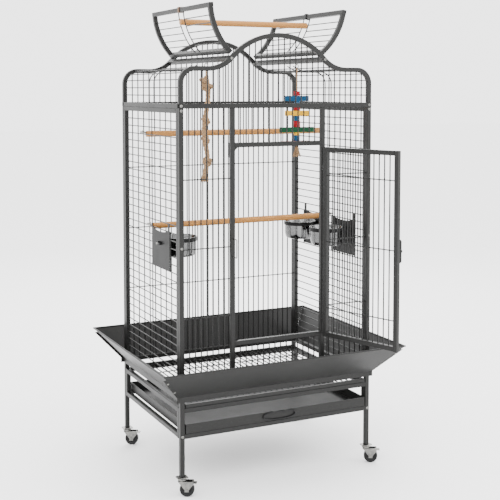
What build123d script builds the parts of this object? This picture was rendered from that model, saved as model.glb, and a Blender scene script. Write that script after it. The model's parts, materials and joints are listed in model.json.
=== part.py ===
"""Bird cage with a play top, on a wheeled stand.

The cage stands on Z = 0, its front faces -Y and +X is to the right.  It is laid out about the
middle of its own plan, and save_all() then moves it along Y so that the origin lies under the
middle of the whole box, which the open door stretches forwards.
Every panel is a welded grille: square tubes, round bars that butt on them, and cross wires that
touch the bars from behind.  The door and the roof wings are drawn shut and turned to their rest pose.
"""
from build123d import *
import os
from math import atan2, cos, degrees, pi, radians, sin, sqrt, tan

# ---------------------------------------------------------------- driving sizes, millimetres
CAGE_WIDTH = 746.0
CAGE_DEPTH = 578.0
TUBE = 16.0
TUBE_WALL = 1.2
TUBE_CORNER = 1.8            # outer corner radius of every square tube
BAR = 4.4                    # upright bars of the front and back
WIRE = 3.8                   # cross wires and the level wires of the sides
BAR_PITCH = 22.5
SIDE_WIRE_PITCH = 27.5
SHEET = 1.2

LEG_FOOT = 66.0              # underside of the legs
BASE_Z = 326.0               # underside of the cage's base rails, top of the legs
LOWER_RAIL_Z = 196.0         # underside of the stand's lower rails
UPPER_RAIL_Z = 285.0         # underside of the stand's upper rails
CROSSBAR_Z = 1308.0          # underside of the bar between panels and roof
SHOULDER_Z = 1449.0          # top of the flat shoulders
SHOULDER_CORNER_R = 57.0     # outer radius of the shoulder's corner
HUMP_R = 250.0               # outer radius of the roof's hump
HUMP_Z = 1315.0              # height of the hump's centre
COVE_R = 115.0               # outer radius of the cove between shoulder and hump

JAMB_LEFT_X = -177.0         # middles of the door jambs
JAMB_RIGHT_X = 174.0
HEADER_Z = 1175.0
SILL_Z = 494.0
GUSSET = 34.0
FRONT_CROSS_WIRES = (600.0, 836.0, 1070.0)
BACK_CROSS_WIRES = (612.0, 843.0, 1075.0)

DOOR_WIDTH = 326.0
DOOR_HEIGHT = 672.0
DOOR_Z = 497.0
DOOR_GAP = 0.6               # between the shut door and the panel behind it
DOOR_EDGE_GAP = 4.2          # from the hinge pin to the door's edge
DOOR_PIN_X = 171.0
DOOR_PIN_D = 5.0
DOOR_OPEN = 109.0            # rest angle of the open door, degrees
PIN_CLEARANCE = 0.05         # radial running clearance of every pin
KNUCKLE_WALL = 1.6
KNUCKLE_LENGTH = 14.0

SKIRT_FLARE = 92.0
SKIRT_FOOT_Z = 340.0
SKIRT_TOP_Z = 444.0
SKIRT_LIP = 18.0
SKIRT_HEM_R = 3.0
SKIRT_CORNER_GAP = 0.6
SKIRT_FLANGE = 11.0          # the side sheets' flanges run on past the corners
SKIRT_FLANGE_DROP = 14.0     # and end this far under the hem
SKIRT_SCREW_HEIGHTS = (368.0, 412.0)

TRAY_HEIGHT = 33.0
TRAY_SIDE_GAP = 4.0
TRAY_LIFT = 1.0              # running gap under the tray and the grate
TRAY_BACK_GAP = 3.0
HANDLE_WIDTH = 124.0
HANDLE_DROP = 27.0
HANDLE_ROD = 5.0
GRATE_TUBE = 12.0
GRATE_PITCH = 22.0
GRATE_CROSS_COUNT = 4

WING_START = 46.0            # arc of a shut wing about the hump's centre, degrees from +X
WING_END = 88.2
WING_OPEN_LEFT = 90.0
WING_OPEN_RIGHT = 97.0
WING_GAP = 2.0               # between a wing and the arches
WING_WIRE_COUNT = 5
WING_PIN_OUT = 1.5           # the wing's pin stands this far outside the roof line
ROD_PAIR = 46.0              # spacing of the paired centre rods
ROD = 4.0
ROOF_RAIL_STEP = 9.2         # from the wing's pin to the middle of the fixed rail, along the roof

HATCH_WIDTH = 172.0
HATCH_HEIGHT = 134.0
HATCH_Z = 752.0
HATCH_TONGUE_Z = 912.0
HATCH_OVERLAP = 4.0
HATCH_OPEN_WIDTH = 171.0     # from the hatch's pin to the latch-side rod of its opening
HATCH_ROD = 4.0
HATCH_GAP = 0.5
HATCH_STARTS = ((-1, -14.0, -1), (1, -24.0, -1), (1, 24.0, 1))   # side, pin's Y, way it runs
BOWL_D = 122.0
BOWL_FOOT_D = 96.0
BOWL_HEIGHT = 68.0
BOWL_RIM_Z = 856.0
BOWL_RIM = 3.0
BOWL_WALL = 1.0
BOWL_INSET = 68.0            # from the wires to the bowl's middle
BOWL_FROM_PIN = 79.0
HOLDER_GAP = 0.6
HOLDER_WALL = 2.4
HOLDER_HEIGHT = 12.0

PERCH_D = 22.0
PERCH_GAP = 0.5
LOWER_PERCH = (0.0, 885.0)   # Y, Z
UPPER_PERCH = (64.0, 1211.0)
TOP_PERCH_X = (-251.0, 265.0)
TOP_PERCH_Z = 1612.0

WHEEL_D = 50.0
WHEEL_WIDTH = 20.0
WHEEL_BORE = 8.0
CASTER_TRAIL = 17.5
CASTER_ANGLE = -31.0         # the way the wheel trails, degrees from +X
FORK_GAP = 1.5               # between the wheel and the fork, and over the wheel
FORK_SHEET = 2.0
CASTER_PLATE = 38.0

ROPE_D = 19.0
STRING_D = 5.0
ROPE_TOY_Y = -70.0
BLOCK_TOY_Y = -80.0
# The rope's route as steps across from its loop and heights, chosen by hand.
ROPE_ROUTE = ((0.0, 1418.0), (6.0, 1382.0), (8.0, 1342.0), (2.0, 1300.0), (-6.0, 1258.0),
              (-9.0, 1216.0), (-3.5, 1176.0), (5.5, 1136.0), (1.0, 1098.0), (-7.0, 1062.0))
ROPE_KNOTS = ((1389.0, 26.0, 1.0), (1261.0, 20.0, -2.0), (1192.0, 19.5, -3.0),
              (1115.0, 22.0, 4.0))                         # height, radius, step across
ROPE_TASSEL = (1061.0, 1038.0, 12.0, 19.0)                 # top, foot and its two radii

SHOULDER_COVE_TURN = 34.0    # how far up the cove the shoulder's rods run, degrees
WING_PLUG = 2.0              # closes each end of a wing's straight rails
WING_BEND_GAP = 0.1          # weld gap at the ends of the bent rails, degrees
CATCH_THICK = 2.4            # strap round each wing's outer rail
CATCH_WIDTH = 12.0

HINGE_HEIGHTS = (560.0, 1092.0)
LATCH_PLATE = (14.0, 76.0, 2.5)
LATCH_BOSS = 8.0
LATCH_BOSS_OUT = 7.0
LATCH_GAP = 0.4
LATCH_LEVER = (80.0, 16.0, 6.0)
BRACKET_THICK = 3.0
BRACKET_WIDTH = 7.0
HANGER_GAP = 1.0             # over and under each knuckle
STRIKE_OUT = 29.0            # the lever turns between this wire and the jamb
STRIKE_HALF = 31.0

HATCH_NAMES = ("left", "right_front", "right_rear")
HATCH_NEAR = 3.5             # from the hatch's pin to its plate
HATCH_SCALLOP = 9.0
HATCH_TONGUE = 16.0
HATCH_KNUCKLE_IN = 34.0
HOLDER_PAD = 26.0
KNOB_Z = 836.0
KNOB_D = 14.0
KNOB_WING = 40.0
KNOB_OUT = 9.0
KNOB_GAP = 0.4
KNOB_STUD = 5.0
BOWL_SHOULDER = 16.0

PERCH_CHAMFER = 1.0
PERCH_BOLT = 5.0
PERCH_BOLT_STEP = 5.0        # the bolt passes beside the middle wire
PERCH_BOLT_RISE = 6.0        # and between two level wires
PERCH_WASHER = 1.6
PERCH_WASHER_D = 20.0
PERCH_NUT = 6.0

EYE_R = 6.0
EYE_ROD = 3.0
EYE_DROP = 19.0              # from the rail's middle to the eye's
TOY_GAP = 0.4                # between an eye and the string under it
BLOCKS_TOP = 1365.0
BLOCK_DEEP = 20.0
BLOCK_GAP = 0.5
# Beads and cross blocks from the top down: colour, width, height, step across.
BLOCKS = (("red", 24.0, 17.0, 0.0), ("blue", 98.0, 20.0, 0.0), ("blue", 22.0, 18.0, 0.0),
          ("red", 24.0, 17.0, 0.0), ("yellow", 98.0, 19.0, 0.0), ("blue", 21.0, 19.0, 0.0),
          ("red", 25.0, 23.0, 0.0), ("green", 143.0, 19.0, 0.0), ("yellow", 22.0, 11.0, 0.0),
          ("blue", 22.0, 21.0, 0.0), ("red", 118.0, 18.0, -8.0))
BLOCK_TASSEL = (1157.0, 1120.0, 8.0, 17.0)                 # top, foot and its two radii

PLATE_THICK = 3.0
KING_D = 8.0
KING_LENGTH = 10.0
SWIVEL_GAP = 0.5
CROWN_D = 24.0
FORK_FOOT = 14.0
WHEEL_ROUND = 3.0
EAR_OUT = 18.0               # the brake's pin is this far out from the axle
EAR_UP = 23.0                # and this far above it
EAR_R = 4.0
LEVER_PIN = 3.0
LEVER_BARREL = 6.4
LEVER_GAP = 1.0
LEVER_REACH = 15.0

SCREW_D = 9.0
SKIRT_SCREW_D = 7.0
SCREW_OUT = 2.0
SCREW_HEIGHTS = (204.0, 842.0, 1300.0, 1316.0)

# ---------------------------------------------------------------- worked-out places
HALF_W = CAGE_WIDTH / 2
HALF_D = CAGE_DEPTH / 2
POST_X = HALF_W - TUBE / 2                   # middles of posts and panels
PANEL_Y = HALF_D - TUBE / 2
SIDE_LENGTH = CAGE_DEPTH - 2 * TUBE          # between the front and back panels
STILE_Y = SIDE_LENGTH / 2 - TUBE / 2
FLOOR_Z = BASE_Z + TUBE                      # top of the base rails
ROOF_Z = CROSSBAR_Z + TUBE                   # top of the crossbars
COVE_X = sqrt((HUMP_R + COVE_R) ** 2 - (SHOULDER_Z + COVE_R - HUMP_Z) ** 2)
COVE_Z = SHOULDER_Z + COVE_R
JOIN_ANGLE = degrees(atan2(COVE_Z - HUMP_Z, COVE_X))       # where cove and hump meet
PIN_R = HUMP_R + WING_PIN_OUT
PIN_ANGLE = WING_START - degrees((TUBE / 2 + WING_PIN_OUT) / HUMP_R)
WING_PIN_X = PIN_R * cos(radians(PIN_ANGLE))
WING_PIN_Z = HUMP_Z + PIN_R * sin(radians(PIN_ANGLE))
DOOR_PIN_Y = -(HALF_D + DOOR_GAP + TUBE / 2)
SKIRT_TILT = atan2(SKIRT_FLARE, SKIRT_TOP_Z - SKIRT_FOOT_Z)

ROOF_RAIL_FOOT = CROSSBAR_Z                  # the side panels end where the crossbars start

NODES = {}


# ---------------------------------------------------------------- building pieces
def keep(name, *pieces):
    """Gather the solids of one welded sub-part under its name."""
    solids = [solid for piece in pieces for solid in piece.solids()]
    NODES[name] = Compound(label=name, children=solids)


def tubes(plane, spots, length, size=TUBE, wall=TUBE_WALL):
    """Parallel square tubes that start on a plane."""
    with BuildPart() as piece:
        with BuildSketch(plane):
            with Locations(*spots):
                RectangleRounded(size, size, TUBE_CORNER * size / TUBE)
                Rectangle(size - 2 * wall, size - 2 * wall, mode=Mode.SUBTRACT)
        extrude(amount=length)
    return piece.part


def rods(plane, spots, length, diameter):
    """Parallel round bars that start on a plane."""
    with BuildPart() as piece:
        with BuildSketch(plane):
            with Locations(*spots):
                Circle(diameter / 2)
        extrude(amount=length)
    return piece.part


def block(low, high):
    """A plain box between two corners."""
    size = [b - a for a, b in zip(low, high)]
    middle = [(a + b) / 2 for a, b in zip(low, high)]
    with BuildPart() as piece:
        with Locations(tuple(middle)):
            Box(*size)
    return piece.part


def along_x(x, y, z):
    """A plane whose normal is +X, with its sketch's x along Y and y along Z."""
    return Plane(origin=(x, y, z), x_dir=(0, 1, 0), z_dir=(1, 0, 0))


def along_y(x, y, z):
    """A plane whose normal is +Y, with its sketch's x along Z and y along X."""
    return Plane(origin=(x, y, z), x_dir=(0, 0, 1), z_dir=(0, 1, 0))


def spread(low, high, pitch):
    """Evenly spaced places between two faces, as near as whole gaps allow to the pitch."""
    gaps = max(1, round((high - low) / pitch))
    return [low + (high - low) * step / gaps for step in range(1, gaps)]


def upright_bars(y, low_x, high_x, low_z, high_z):
    """A bay of upright bars between two uprights."""
    spots = [(x, y) for x in spread(low_x, high_x, BAR_PITCH)]
    return rods(Plane.XY.offset(low_z), spots, high_z - low_z, BAR)


def cross_wires(y, low_x, high_x, heights):
    """Level wires that touch the bars from one side."""
    spots = [(y, z) for z in heights]
    return rods(Plane(origin=(low_x, 0, 0), x_dir=(0, 1, 0), z_dir=(1, 0, 0)), spots, high_x - low_x, WIRE)


def bent_tube(centre_x, centre_z, radius, start, sweep, y, size=TUBE):
    """A square tube bent about an axis along Y; angles run from +X towards +Z."""
    turn = radians(start)
    section = Plane(origin=(centre_x, y, centre_z), x_dir=(cos(turn), 0, sin(turn)),
                    z_dir=(-sin(turn), 0, cos(turn)))
    with BuildPart() as piece:
        with BuildSketch(section):
            with Locations((radius, 0)):
                RectangleRounded(size, size, TUBE_CORNER * size / TUBE)
                Rectangle(size - 2 * TUBE_WALL, size - 2 * TUBE_WALL, mode=Mode.SUBTRACT)
        revolve(axis=Axis((centre_x, y, centre_z), (0, -1, 0)), revolution_arc=sweep)
    return piece.part


def bent_rod(centre_x, centre_z, radius, start, sweep, y, diameter):
    """A round rod bent about an axis along Y."""
    turn = radians(start)
    section = Plane(origin=(centre_x, y, centre_z), x_dir=(cos(turn), 0, sin(turn)),
                    z_dir=(-sin(turn), 0, cos(turn)))
    with BuildPart() as piece:
        with BuildSketch(section):
            with Locations((radius, 0)):
                Circle(diameter / 2)
        revolve(axis=Axis((centre_x, y, centre_z), (0, -1, 0)), revolution_arc=sweep)
    return piece.part


# ---------------------------------------------------------------- stand
def stand():
    """Four welded frames: legs and rails in front and behind, and a ladder at each side."""
    rail_heights = (LOWER_RAIL_Z + TUBE / 2, UPPER_RAIL_Z + TUBE / 2)
    for name, y in (("stand_front_frame", -PANEL_Y), ("stand_rear_frame", PANEL_Y)):
        legs = tubes(Plane.XY.offset(LEG_FOOT), [(-POST_X, y), (POST_X, y)], BASE_Z - LEG_FOOT)
        rails = tubes(along_x(-HALF_W + TUBE, 0, 0), [(y, z) for z in rail_heights], CAGE_WIDTH - 2 * TUBE)
        keep(name, legs, rails)
    for name, x in (("stand_left_frame", -POST_X), ("stand_right_frame", POST_X)):
        uprights = tubes(Plane.XY.offset(LOWER_RAIL_Z), [(x, -STILE_Y), (x, STILE_Y)],
                         UPPER_RAIL_Z + TUBE - LOWER_RAIL_Z)
        rails = tubes(along_y(0, -SIDE_LENGTH / 2 + TUBE, 0), [(z, x) for z in rail_heights],
                      SIDE_LENGTH - 2 * TUBE)
        keep(name, uprights, rails)


def tray():
    """Sheet tray with an open top, flush with the front legs, and its drop handle."""
    half = HALF_W - TUBE - TRAY_SIDE_GAP
    foot = LOWER_RAIL_Z + TUBE + TRAY_LIFT
    back = HALF_D - TUBE - TRAY_BACK_GAP
    middle = (back - HALF_D) / 2
    length = back + HALF_D
    with BuildPart() as pan:
        with BuildSketch(Plane.XY.offset(foot)):
            with Locations((0, middle)):
                Rectangle(2 * half, length)
        extrude(amount=TRAY_HEIGHT)
        with BuildSketch(Plane.XY.offset(foot + SHEET)):
            with Locations((0, middle)):
                Rectangle(2 * half - 2 * SHEET, length - 2 * SHEET)
        extrude(amount=TRAY_HEIGHT, mode=Mode.SUBTRACT)
    rod_z = foot + (TRAY_HEIGHT + HANDLE_DROP) / 2 + 1
    rod_y = -(HALF_D + HANDLE_ROD / 2 + 1)
    clips = [block((x - 6, rod_y - HANDLE_ROD / 2 - 1.2, rod_z - 1.2), (x + 6, -HALF_D, rod_z + 3.7))
             for x in (-22, 22)]
    grip = rods(along_x(-30, 0, 0), [(rod_y, rod_z)], 60, HANDLE_ROD + 2 * PIN_CLEARANCE)
    keep("tray", pan.part, *[clip - grip for clip in clips])
    corner = HANDLE_DROP / 2
    with BuildPart() as bail:
        with BuildLine(Plane(origin=(0, rod_y, rod_z - corner), x_dir=(1, 0, 0), z_dir=(0, -1, 0))) as route:
            straight = HANDLE_WIDTH / 2 - corner
            Line((-straight, corner), (straight, corner))
            CenterArc((straight, 0), corner, 90, -180)
            Line((straight, -corner), (-straight, -corner))
            CenterArc((-straight, 0), corner, 270, -180)
        with BuildSketch(along_x(0, rod_y, rod_z)):
            Circle(HANDLE_ROD / 2)
        sweep(path=route.wire())
    keep("tray_handle", bail.part)


def grate():
    """Floor grille that slides out over the stand's upper rails."""
    half = HALF_W - TUBE - TRAY_SIDE_GAP
    foot = UPPER_RAIL_Z + TUBE + TRAY_LIFT
    middle_z = foot + GRATE_TUBE / 2
    front = -HALF_D
    back = HALF_D - TUBE - TRAY_BACK_GAP
    end_spots = [(front + GRATE_TUBE / 2, middle_z), (back - GRATE_TUBE / 2, middle_z)]
    ends = tubes(along_x(-half, 0, 0), end_spots, 2 * half, GRATE_TUBE)
    run = back - front - 2 * GRATE_TUBE
    start = front + GRATE_TUBE
    side_spots = [(middle_z, half - GRATE_TUBE / 2), (middle_z, GRATE_TUBE / 2 - half)]
    sides = tubes(along_y(0, start, 0), side_spots, run, GRATE_TUBE)
    inner = half - GRATE_TUBE
    wires = rods(along_y(0, start, 0), [(middle_z, x) for x in spread(-inner, inner, GRATE_PITCH)], run, BAR)
    cross_spots = [(start + run * step / (GRATE_CROSS_COUNT + 1), middle_z - (BAR + WIRE) / 2)
                   for step in range(1, GRATE_CROSS_COUNT + 1)]
    cross = rods(along_x(-inner, 0, 0), cross_spots, 2 * inner, WIRE)
    keep("grate", ends, sides, wires, cross)


# ---------------------------------------------------------------- panels
def end_panel_posts(y):
    """The two posts and the base rail that front and back share."""
    posts = tubes(Plane.XY.offset(BASE_Z), [(-POST_X, y), (POST_X, y)], CROSSBAR_Z - BASE_Z)
    base = tubes(along_x(-HALF_W + TUBE, 0, 0), [(y, BASE_Z + TUBE / 2)], CAGE_WIDTH - 2 * TUBE)
    return [posts, base]


def gusset(corner_x, corner_z, way):
    """Triangle behind a corner of the doorway; way is +1 to point up the jamb and -1 down."""
    reach = GUSSET + TUBE
    with BuildPart() as piece:
        corner = (corner_x, -HALF_D + TUBE, corner_z)
        with BuildSketch(Plane(origin=corner, x_dir=(1, 0, 0), z_dir=(0, -1, 0))):
            with BuildLine():
                Polyline((0, 0), (reach, 0), (0, way * reach), close=True)
            make_face()
        extrude(amount=-SHEET)
    return piece.part


def door_hanger(z):
    """Pin and bracket on the right jamb's face that one knuckle of the door turns on."""
    with BuildPart() as hanger:
        with BuildSketch(Plane.XY.offset(z - BRACKET_THICK - HANGER_GAP)):
            with Locations((DOOR_PIN_X, DOOR_PIN_Y)):
                Circle(BRACKET_WIDTH / 2)
            with Locations((DOOR_PIN_X, (DOOR_PIN_Y - HALF_D) / 2)):
                Rectangle(BRACKET_WIDTH, -HALF_D - DOOR_PIN_Y)
        extrude(amount=BRACKET_THICK)
        with BuildSketch(Plane.XY.offset(z - HANGER_GAP)):
            with Locations((DOOR_PIN_X, DOOR_PIN_Y)):
                Circle(DOOR_PIN_D / 2)
        extrude(amount=KNUCKLE_LENGTH + 2 * HANGER_GAP)
    return hanger.part


def front_panel():
    """Front grille with the doorway between its two jambs."""
    y = -PANEL_Y
    inner = HALF_W - TUBE
    door_left = JAMB_LEFT_X + TUBE / 2
    door_right = JAMB_RIGHT_X - TUBE / 2
    jambs = tubes(Plane.XY.offset(FLOOR_Z), [(JAMB_LEFT_X, y), (JAMB_RIGHT_X, y)], CROSSBAR_Z - FLOOR_Z)
    rails = tubes(along_x(door_left, 0, 0), [(y, HEADER_Z + TUBE / 2), (y, SILL_Z + TUBE / 2)],
                  door_right - door_left)
    bars = [upright_bars(y, -inner, JAMB_LEFT_X - TUBE / 2, FLOOR_Z, CROSSBAR_Z),
            upright_bars(y, JAMB_RIGHT_X + TUBE / 2, inner, FLOOR_Z, CROSSBAR_Z),
            upright_bars(y, door_left, door_right, HEADER_Z + TUBE, CROSSBAR_Z),
            upright_bars(y, door_left, door_right, FLOOR_Z, SILL_Z)]
    wire_y = y + (BAR + WIRE) / 2
    cross = [cross_wires(wire_y, -inner, JAMB_LEFT_X - TUBE / 2, FRONT_CROSS_WIRES),
             cross_wires(wire_y, JAMB_RIGHT_X + TUBE / 2, inner, FRONT_CROSS_WIRES)]
    gussets = [gusset(JAMB_LEFT_X - TUBE / 2, HEADER_Z + TUBE, -1), gusset(JAMB_LEFT_X - TUBE / 2, SILL_Z, 1)]
    hangers = [door_hanger(z) for z in HINGE_HEIGHTS]
    keep("front_panel", *end_panel_posts(y), jambs, rails, *bars, *cross, *gussets, *hangers)


def back_panel():
    """Back grille, one bay wide."""
    y = PANEL_Y
    inner = HALF_W - TUBE
    bars = upright_bars(y, -inner, inner, FLOOR_Z, CROSSBAR_Z)
    cross = cross_wires(y - (BAR + WIRE) / 2, -inner, inner, BACK_CROSS_WIRES)
    keep("back_panel", *end_panel_posts(y), bars, cross)


def side_panel(name, side):
    """Side grille of level wires, with an opening behind each feeder hatch on that side."""
    x = side * POST_X
    stiles = tubes(Plane.XY.offset(BASE_Z), [(x, -STILE_Y), (x, STILE_Y)], ROOF_RAIL_FOOT - BASE_Z)
    run = SIDE_LENGTH - 2 * TUBE
    start = -run / 2
    rails = tubes(along_y(0, start, 0), [(BASE_Z + TUBE / 2, x), (ROOF_RAIL_FOOT - TUBE / 2, x)], run)
    heights = spread(FLOOR_Z, ROOF_RAIL_FOOT - TUBE, SIDE_WIRE_PITCH)
    foot = max(z for z in heights if z < HATCH_Z + HATCH_OVERLAP + WIRE)
    head = min(z for z in heights if z > HATCH_Z + HATCH_HEIGHT - HATCH_OVERLAP - WIRE)
    gaps = sorted(sorted((pin, pin + way * HATCH_OPEN_WIDTH)) for s, pin, way in HATCH_STARTS if s == side)
    pins = [pin for s, pin, way in HATCH_STARTS if s == side]
    pieces = [stiles, rails]
    whole = [z for z in heights if z <= foot or z >= head]
    pieces.append(rods(along_y(0, start, 0), [(z, x) for z in whole], run, WIRE))
    edges = [start] + [edge for gap in gaps for edge in gap] + [-start]
    cut = [z for z in heights if foot < z < head]
    for low, high in zip(edges[0::2], edges[1::2]):
        low_face = low if low == start else low + (HATCH_ROD if low in pins else WIRE) / 2
        high_face = high if high == -start else high - (HATCH_ROD if high in pins else WIRE) / 2
        pieces.append(rods(along_y(0, low_face, 0), [(z, x) for z in cut], high_face - low_face, WIRE))
    for gap in gaps:
        for edge in gap:
            size = HATCH_ROD if edge in pins else WIRE
            pieces.append(rods(Plane.XY.offset(foot + WIRE / 2), [(x, edge)], head - foot - WIRE, size))
    inward = x - side * WIRE
    pieces.append(rods(Plane.XY.offset(FLOOR_Z), [(inward, 0)], ROOF_RAIL_FOOT - TUBE - FLOOR_Z, WIRE))
    keep(name, *pieces)


# ---------------------------------------------------------------- roof
def roof_edge(inset):
    """Closed face under the roof line, drawn in XZ and set in from the outer line."""
    side_x = HALF_W - inset
    corner_x = HALF_W - SHOULDER_CORNER_R
    corner_z = SHOULDER_Z - SHOULDER_CORNER_R
    corner_r = SHOULDER_CORNER_R - inset
    cove_r = COVE_R + inset
    hump_r = HUMP_R - inset
    join = JOIN_ANGLE
    with BuildSketch(Plane(origin=(0, 0, 0), x_dir=(1, 0, 0), z_dir=(0, -1, 0))) as face:
        with BuildLine():
            Line((-side_x, ROOF_Z), (side_x, ROOF_Z))
            Line((side_x, ROOF_Z), (side_x, corner_z))
            CenterArc((corner_x, corner_z), corner_r, 0, 90)
            Line((corner_x, SHOULDER_Z - inset), (COVE_X, SHOULDER_Z - inset))
            CenterArc((COVE_X, COVE_Z), cove_r, 270, join - 90)
            CenterArc((0, HUMP_Z), hump_r, join, 180 - 2 * join)
            CenterArc((-COVE_X, COVE_Z), cove_r, 360 - join, join - 90)
            Line((-COVE_X, SHOULDER_Z - inset), (-corner_x, SHOULDER_Z - inset))
            CenterArc((-corner_x, corner_z), corner_r, 90, 90)
            Line((-side_x, corner_z), (-side_x, ROOF_Z))
        make_face()
    return face.sketch


def arch(name, y):
    """Crossbar, bent roof tube in its runs and arcs, and the bars between them."""
    half = TUBE / 2
    corner_x = HALF_W - SHOULDER_CORNER_R
    corner_z = SHOULDER_Z - SHOULDER_CORNER_R
    join = JOIN_ANGLE
    pieces = [tubes(along_x(-HALF_W, 0, 0), [(y, CROSSBAR_Z + half)], CAGE_WIDTH),
              tubes(Plane.XY.offset(ROOF_Z), [(-POST_X, y), (POST_X, y)], corner_z - ROOF_Z)]
    flat = corner_x - COVE_X
    for side in (-1, 1):
        start = 0 if side > 0 else 90
        pieces.append(bent_tube(side * corner_x, corner_z, SHOULDER_CORNER_R - half, start, 90, y))
        low_x = COVE_X if side > 0 else -corner_x
        pieces.append(tubes(along_x(low_x, 0, 0), [(y, SHOULDER_Z - half)], flat))
        cove_start = 180 + join if side > 0 else 270
        pieces.append(bent_tube(side * COVE_X, COVE_Z, COVE_R + half, cove_start, 90 - join, y))
    step = (180 - 2 * join) / 4
    for count in range(4):
        pieces.append(bent_tube(0, HUMP_Z, HUMP_R - half, join + count * step, step, y))
    inner = HALF_W - TUBE
    with BuildPart() as bars:
        with BuildSketch(Plane.XY.offset(ROOF_Z)):
            with Locations(*[(x, y) for x in spread(-inner, inner, BAR_PITCH)]):
                Circle(BAR / 2)
        extrude(amount=HUMP_R)
        extrude(to_extrude=roof_edge(TUBE), amount=CAGE_DEPTH, both=True, mode=Mode.INTERSECT)
    pieces.append(bars.part)
    keep(name, *pieces)


def on_roof(length):
    """Place on the tube's mid line, a length up the right-hand roof line from the crossbar's top."""
    half = TUBE / 2
    corner_x = HALF_W - SHOULDER_CORNER_R
    corner_z = SHOULDER_Z - SHOULDER_CORNER_R
    corner_r = SHOULDER_CORNER_R - half
    wall = corner_z - ROOF_Z
    if length <= wall:
        return POST_X, ROOF_Z + length
    length -= wall
    if length <= corner_r * pi / 2:
        turn = length / corner_r
        return corner_x + corner_r * cos(turn), corner_z + corner_r * sin(turn)
    length -= corner_r * pi / 2
    if length <= corner_x - COVE_X:
        return corner_x - length, SHOULDER_Z - half
    length -= corner_x - COVE_X
    turn = length / (COVE_R + half)
    return COVE_X - (COVE_R + half) * sin(turn), COVE_Z - (COVE_R + half) * cos(turn)


def shoulder(name, side):
    """Rail over the side panel, level wires that follow the roof line, and two bent rods."""
    half = TUBE / 2
    corner_x = HALF_W - SHOULDER_CORNER_R
    corner_z = SHOULDER_Z - SHOULDER_CORNER_R
    rail = tubes(along_y(0, -SIDE_LENGTH / 2, 0), [(CROSSBAR_Z + half, side * POST_X)], SIDE_LENGTH)
    roof_run = (corner_z - ROOF_Z) + (SHOULDER_CORNER_R - half) * pi / 2 + corner_x - COVE_X
    reach = roof_run + radians(SHOULDER_COVE_TURN) * (COVE_R + half)
    spots = []
    for length in spread(0, reach, SIDE_WIRE_PITCH):
        x, z = on_roof(length)
        spots.append((z, side * x))
    wires = rods(along_y(0, -SIDE_LENGTH / 2, 0), spots, SIDE_LENGTH, WIRE)
    under = (WIRE + ROD) / 2
    pieces = [rail, wires]
    for y in (-ROD_PAIR / 2, ROD_PAIR / 2):
        x = side * (POST_X - under)
        pieces.append(rods(Plane.XY.offset(ROOF_Z), [(x, y)], corner_z - ROOF_Z, ROD))
        start = 0 if side > 0 else 90
        bend = SHOULDER_CORNER_R - half - under
        pieces.append(bent_rod(side * corner_x, corner_z, bend, start, 90, y, ROD))
        low_x = COVE_X if side > 0 else -corner_x
        pieces.append(rods(along_x(low_x, 0, 0), [(y, SHOULDER_Z - half - under)], corner_x - COVE_X, ROD))
        cove_start = 270 - SHOULDER_COVE_TURN if side > 0 else 270
        pieces.append(bent_rod(side * COVE_X, COVE_Z, COVE_R + half + under, cove_start, SHOULDER_COVE_TURN,
                               y, ROD))
    keep(name, *pieces)


def roof_rail_section(side):
    """Plane at the front end of a fixed roof rail, turned to the roof's slope."""
    slope = radians(PIN_ANGLE)
    x, z = rail_middle(side)
    return Plane(origin=(x, -SIDE_LENGTH / 2, z), x_dir=(side * cos(slope), 0, sin(slope)), z_dir=(0, 1, 0))


def roof_rails():
    """The two fixed rails between the arches that carry the wings, and the eyes for the toys."""
    pieces = [tubes(roof_rail_section(side), [(0, 0)], SIDE_LENGTH) for side in (-1, 1)]
    keep("wing_rails", *pieces)
    keep("toy_eyes", toy_eye(-1, ROPE_TOY_Y), toy_eye(1, BLOCK_TOY_Y))


def wing():
    """One roof wing, drawn shut on the hump's +X side."""
    half = TUBE / 2
    middle_r = HUMP_R - half
    end_y = SIDE_LENGTH / 2 - WING_GAP
    rail_half = degrees(half / middle_r)
    pieces = []
    for angle in (WING_START, WING_END - rail_half):
        turn = radians(angle)
        section = Plane(origin=(middle_r * cos(turn), -end_y, HUMP_Z + middle_r * sin(turn)),
                        x_dir=(cos(turn), 0, sin(turn)), z_dir=(0, 1, 0))
        pieces.append(tubes(section, [(0, 0)], 2 * end_y))
        for depth in (0, 2 * end_y - WING_PLUG):
            with BuildPart() as plug:
                with BuildSketch(section.offset(depth)):
                    Rectangle(TUBE - 2 * TUBE_WALL, TUBE - 2 * TUBE_WALL)
                extrude(amount=WING_PLUG)
            pieces.append(plug.part)
    start = WING_START + rail_half + WING_BEND_GAP
    sweep_angle = WING_END - 2 * rail_half - WING_BEND_GAP - start
    for y in (-end_y + half, end_y - half):
        pieces.append(bent_tube(0, HUMP_Z, middle_r, start, sweep_angle, y))
    for y in (-ROD_PAIR / 2, ROD_PAIR / 2):
        pieces.append(bent_rod(0, HUMP_Z, middle_r, start, sweep_angle, y, ROD))
    spots = []
    for count in range(1, WING_WIRE_COUNT + 1):
        turn = radians(start + sweep_angle * count / (WING_WIRE_COUNT + 1))
        spots.append((HUMP_Z + middle_r * sin(turn), middle_r * cos(turn)))
    run = end_y - TUBE - (ROD_PAIR + ROD) / 2
    for low in (-end_y + TUBE, (ROD_PAIR + ROD) / 2):
        pieces.append(rods(along_y(0, low, 0), spots, run, WIRE))
    return pieces


def open_wing(pieces, side):
    """Mirror the right-hand wing for the left and turn it about its pin to the open rest pose."""
    angle = WING_OPEN_RIGHT if side > 0 else WING_OPEN_LEFT
    shut = [piece if side > 0 else piece.mirror(Plane.YZ) for piece in pieces]
    pin = Axis((side * WING_PIN_X, 0, WING_PIN_Z), (0, side, 0))
    return [piece.rotate(pin, angle) for piece in shut]


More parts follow.
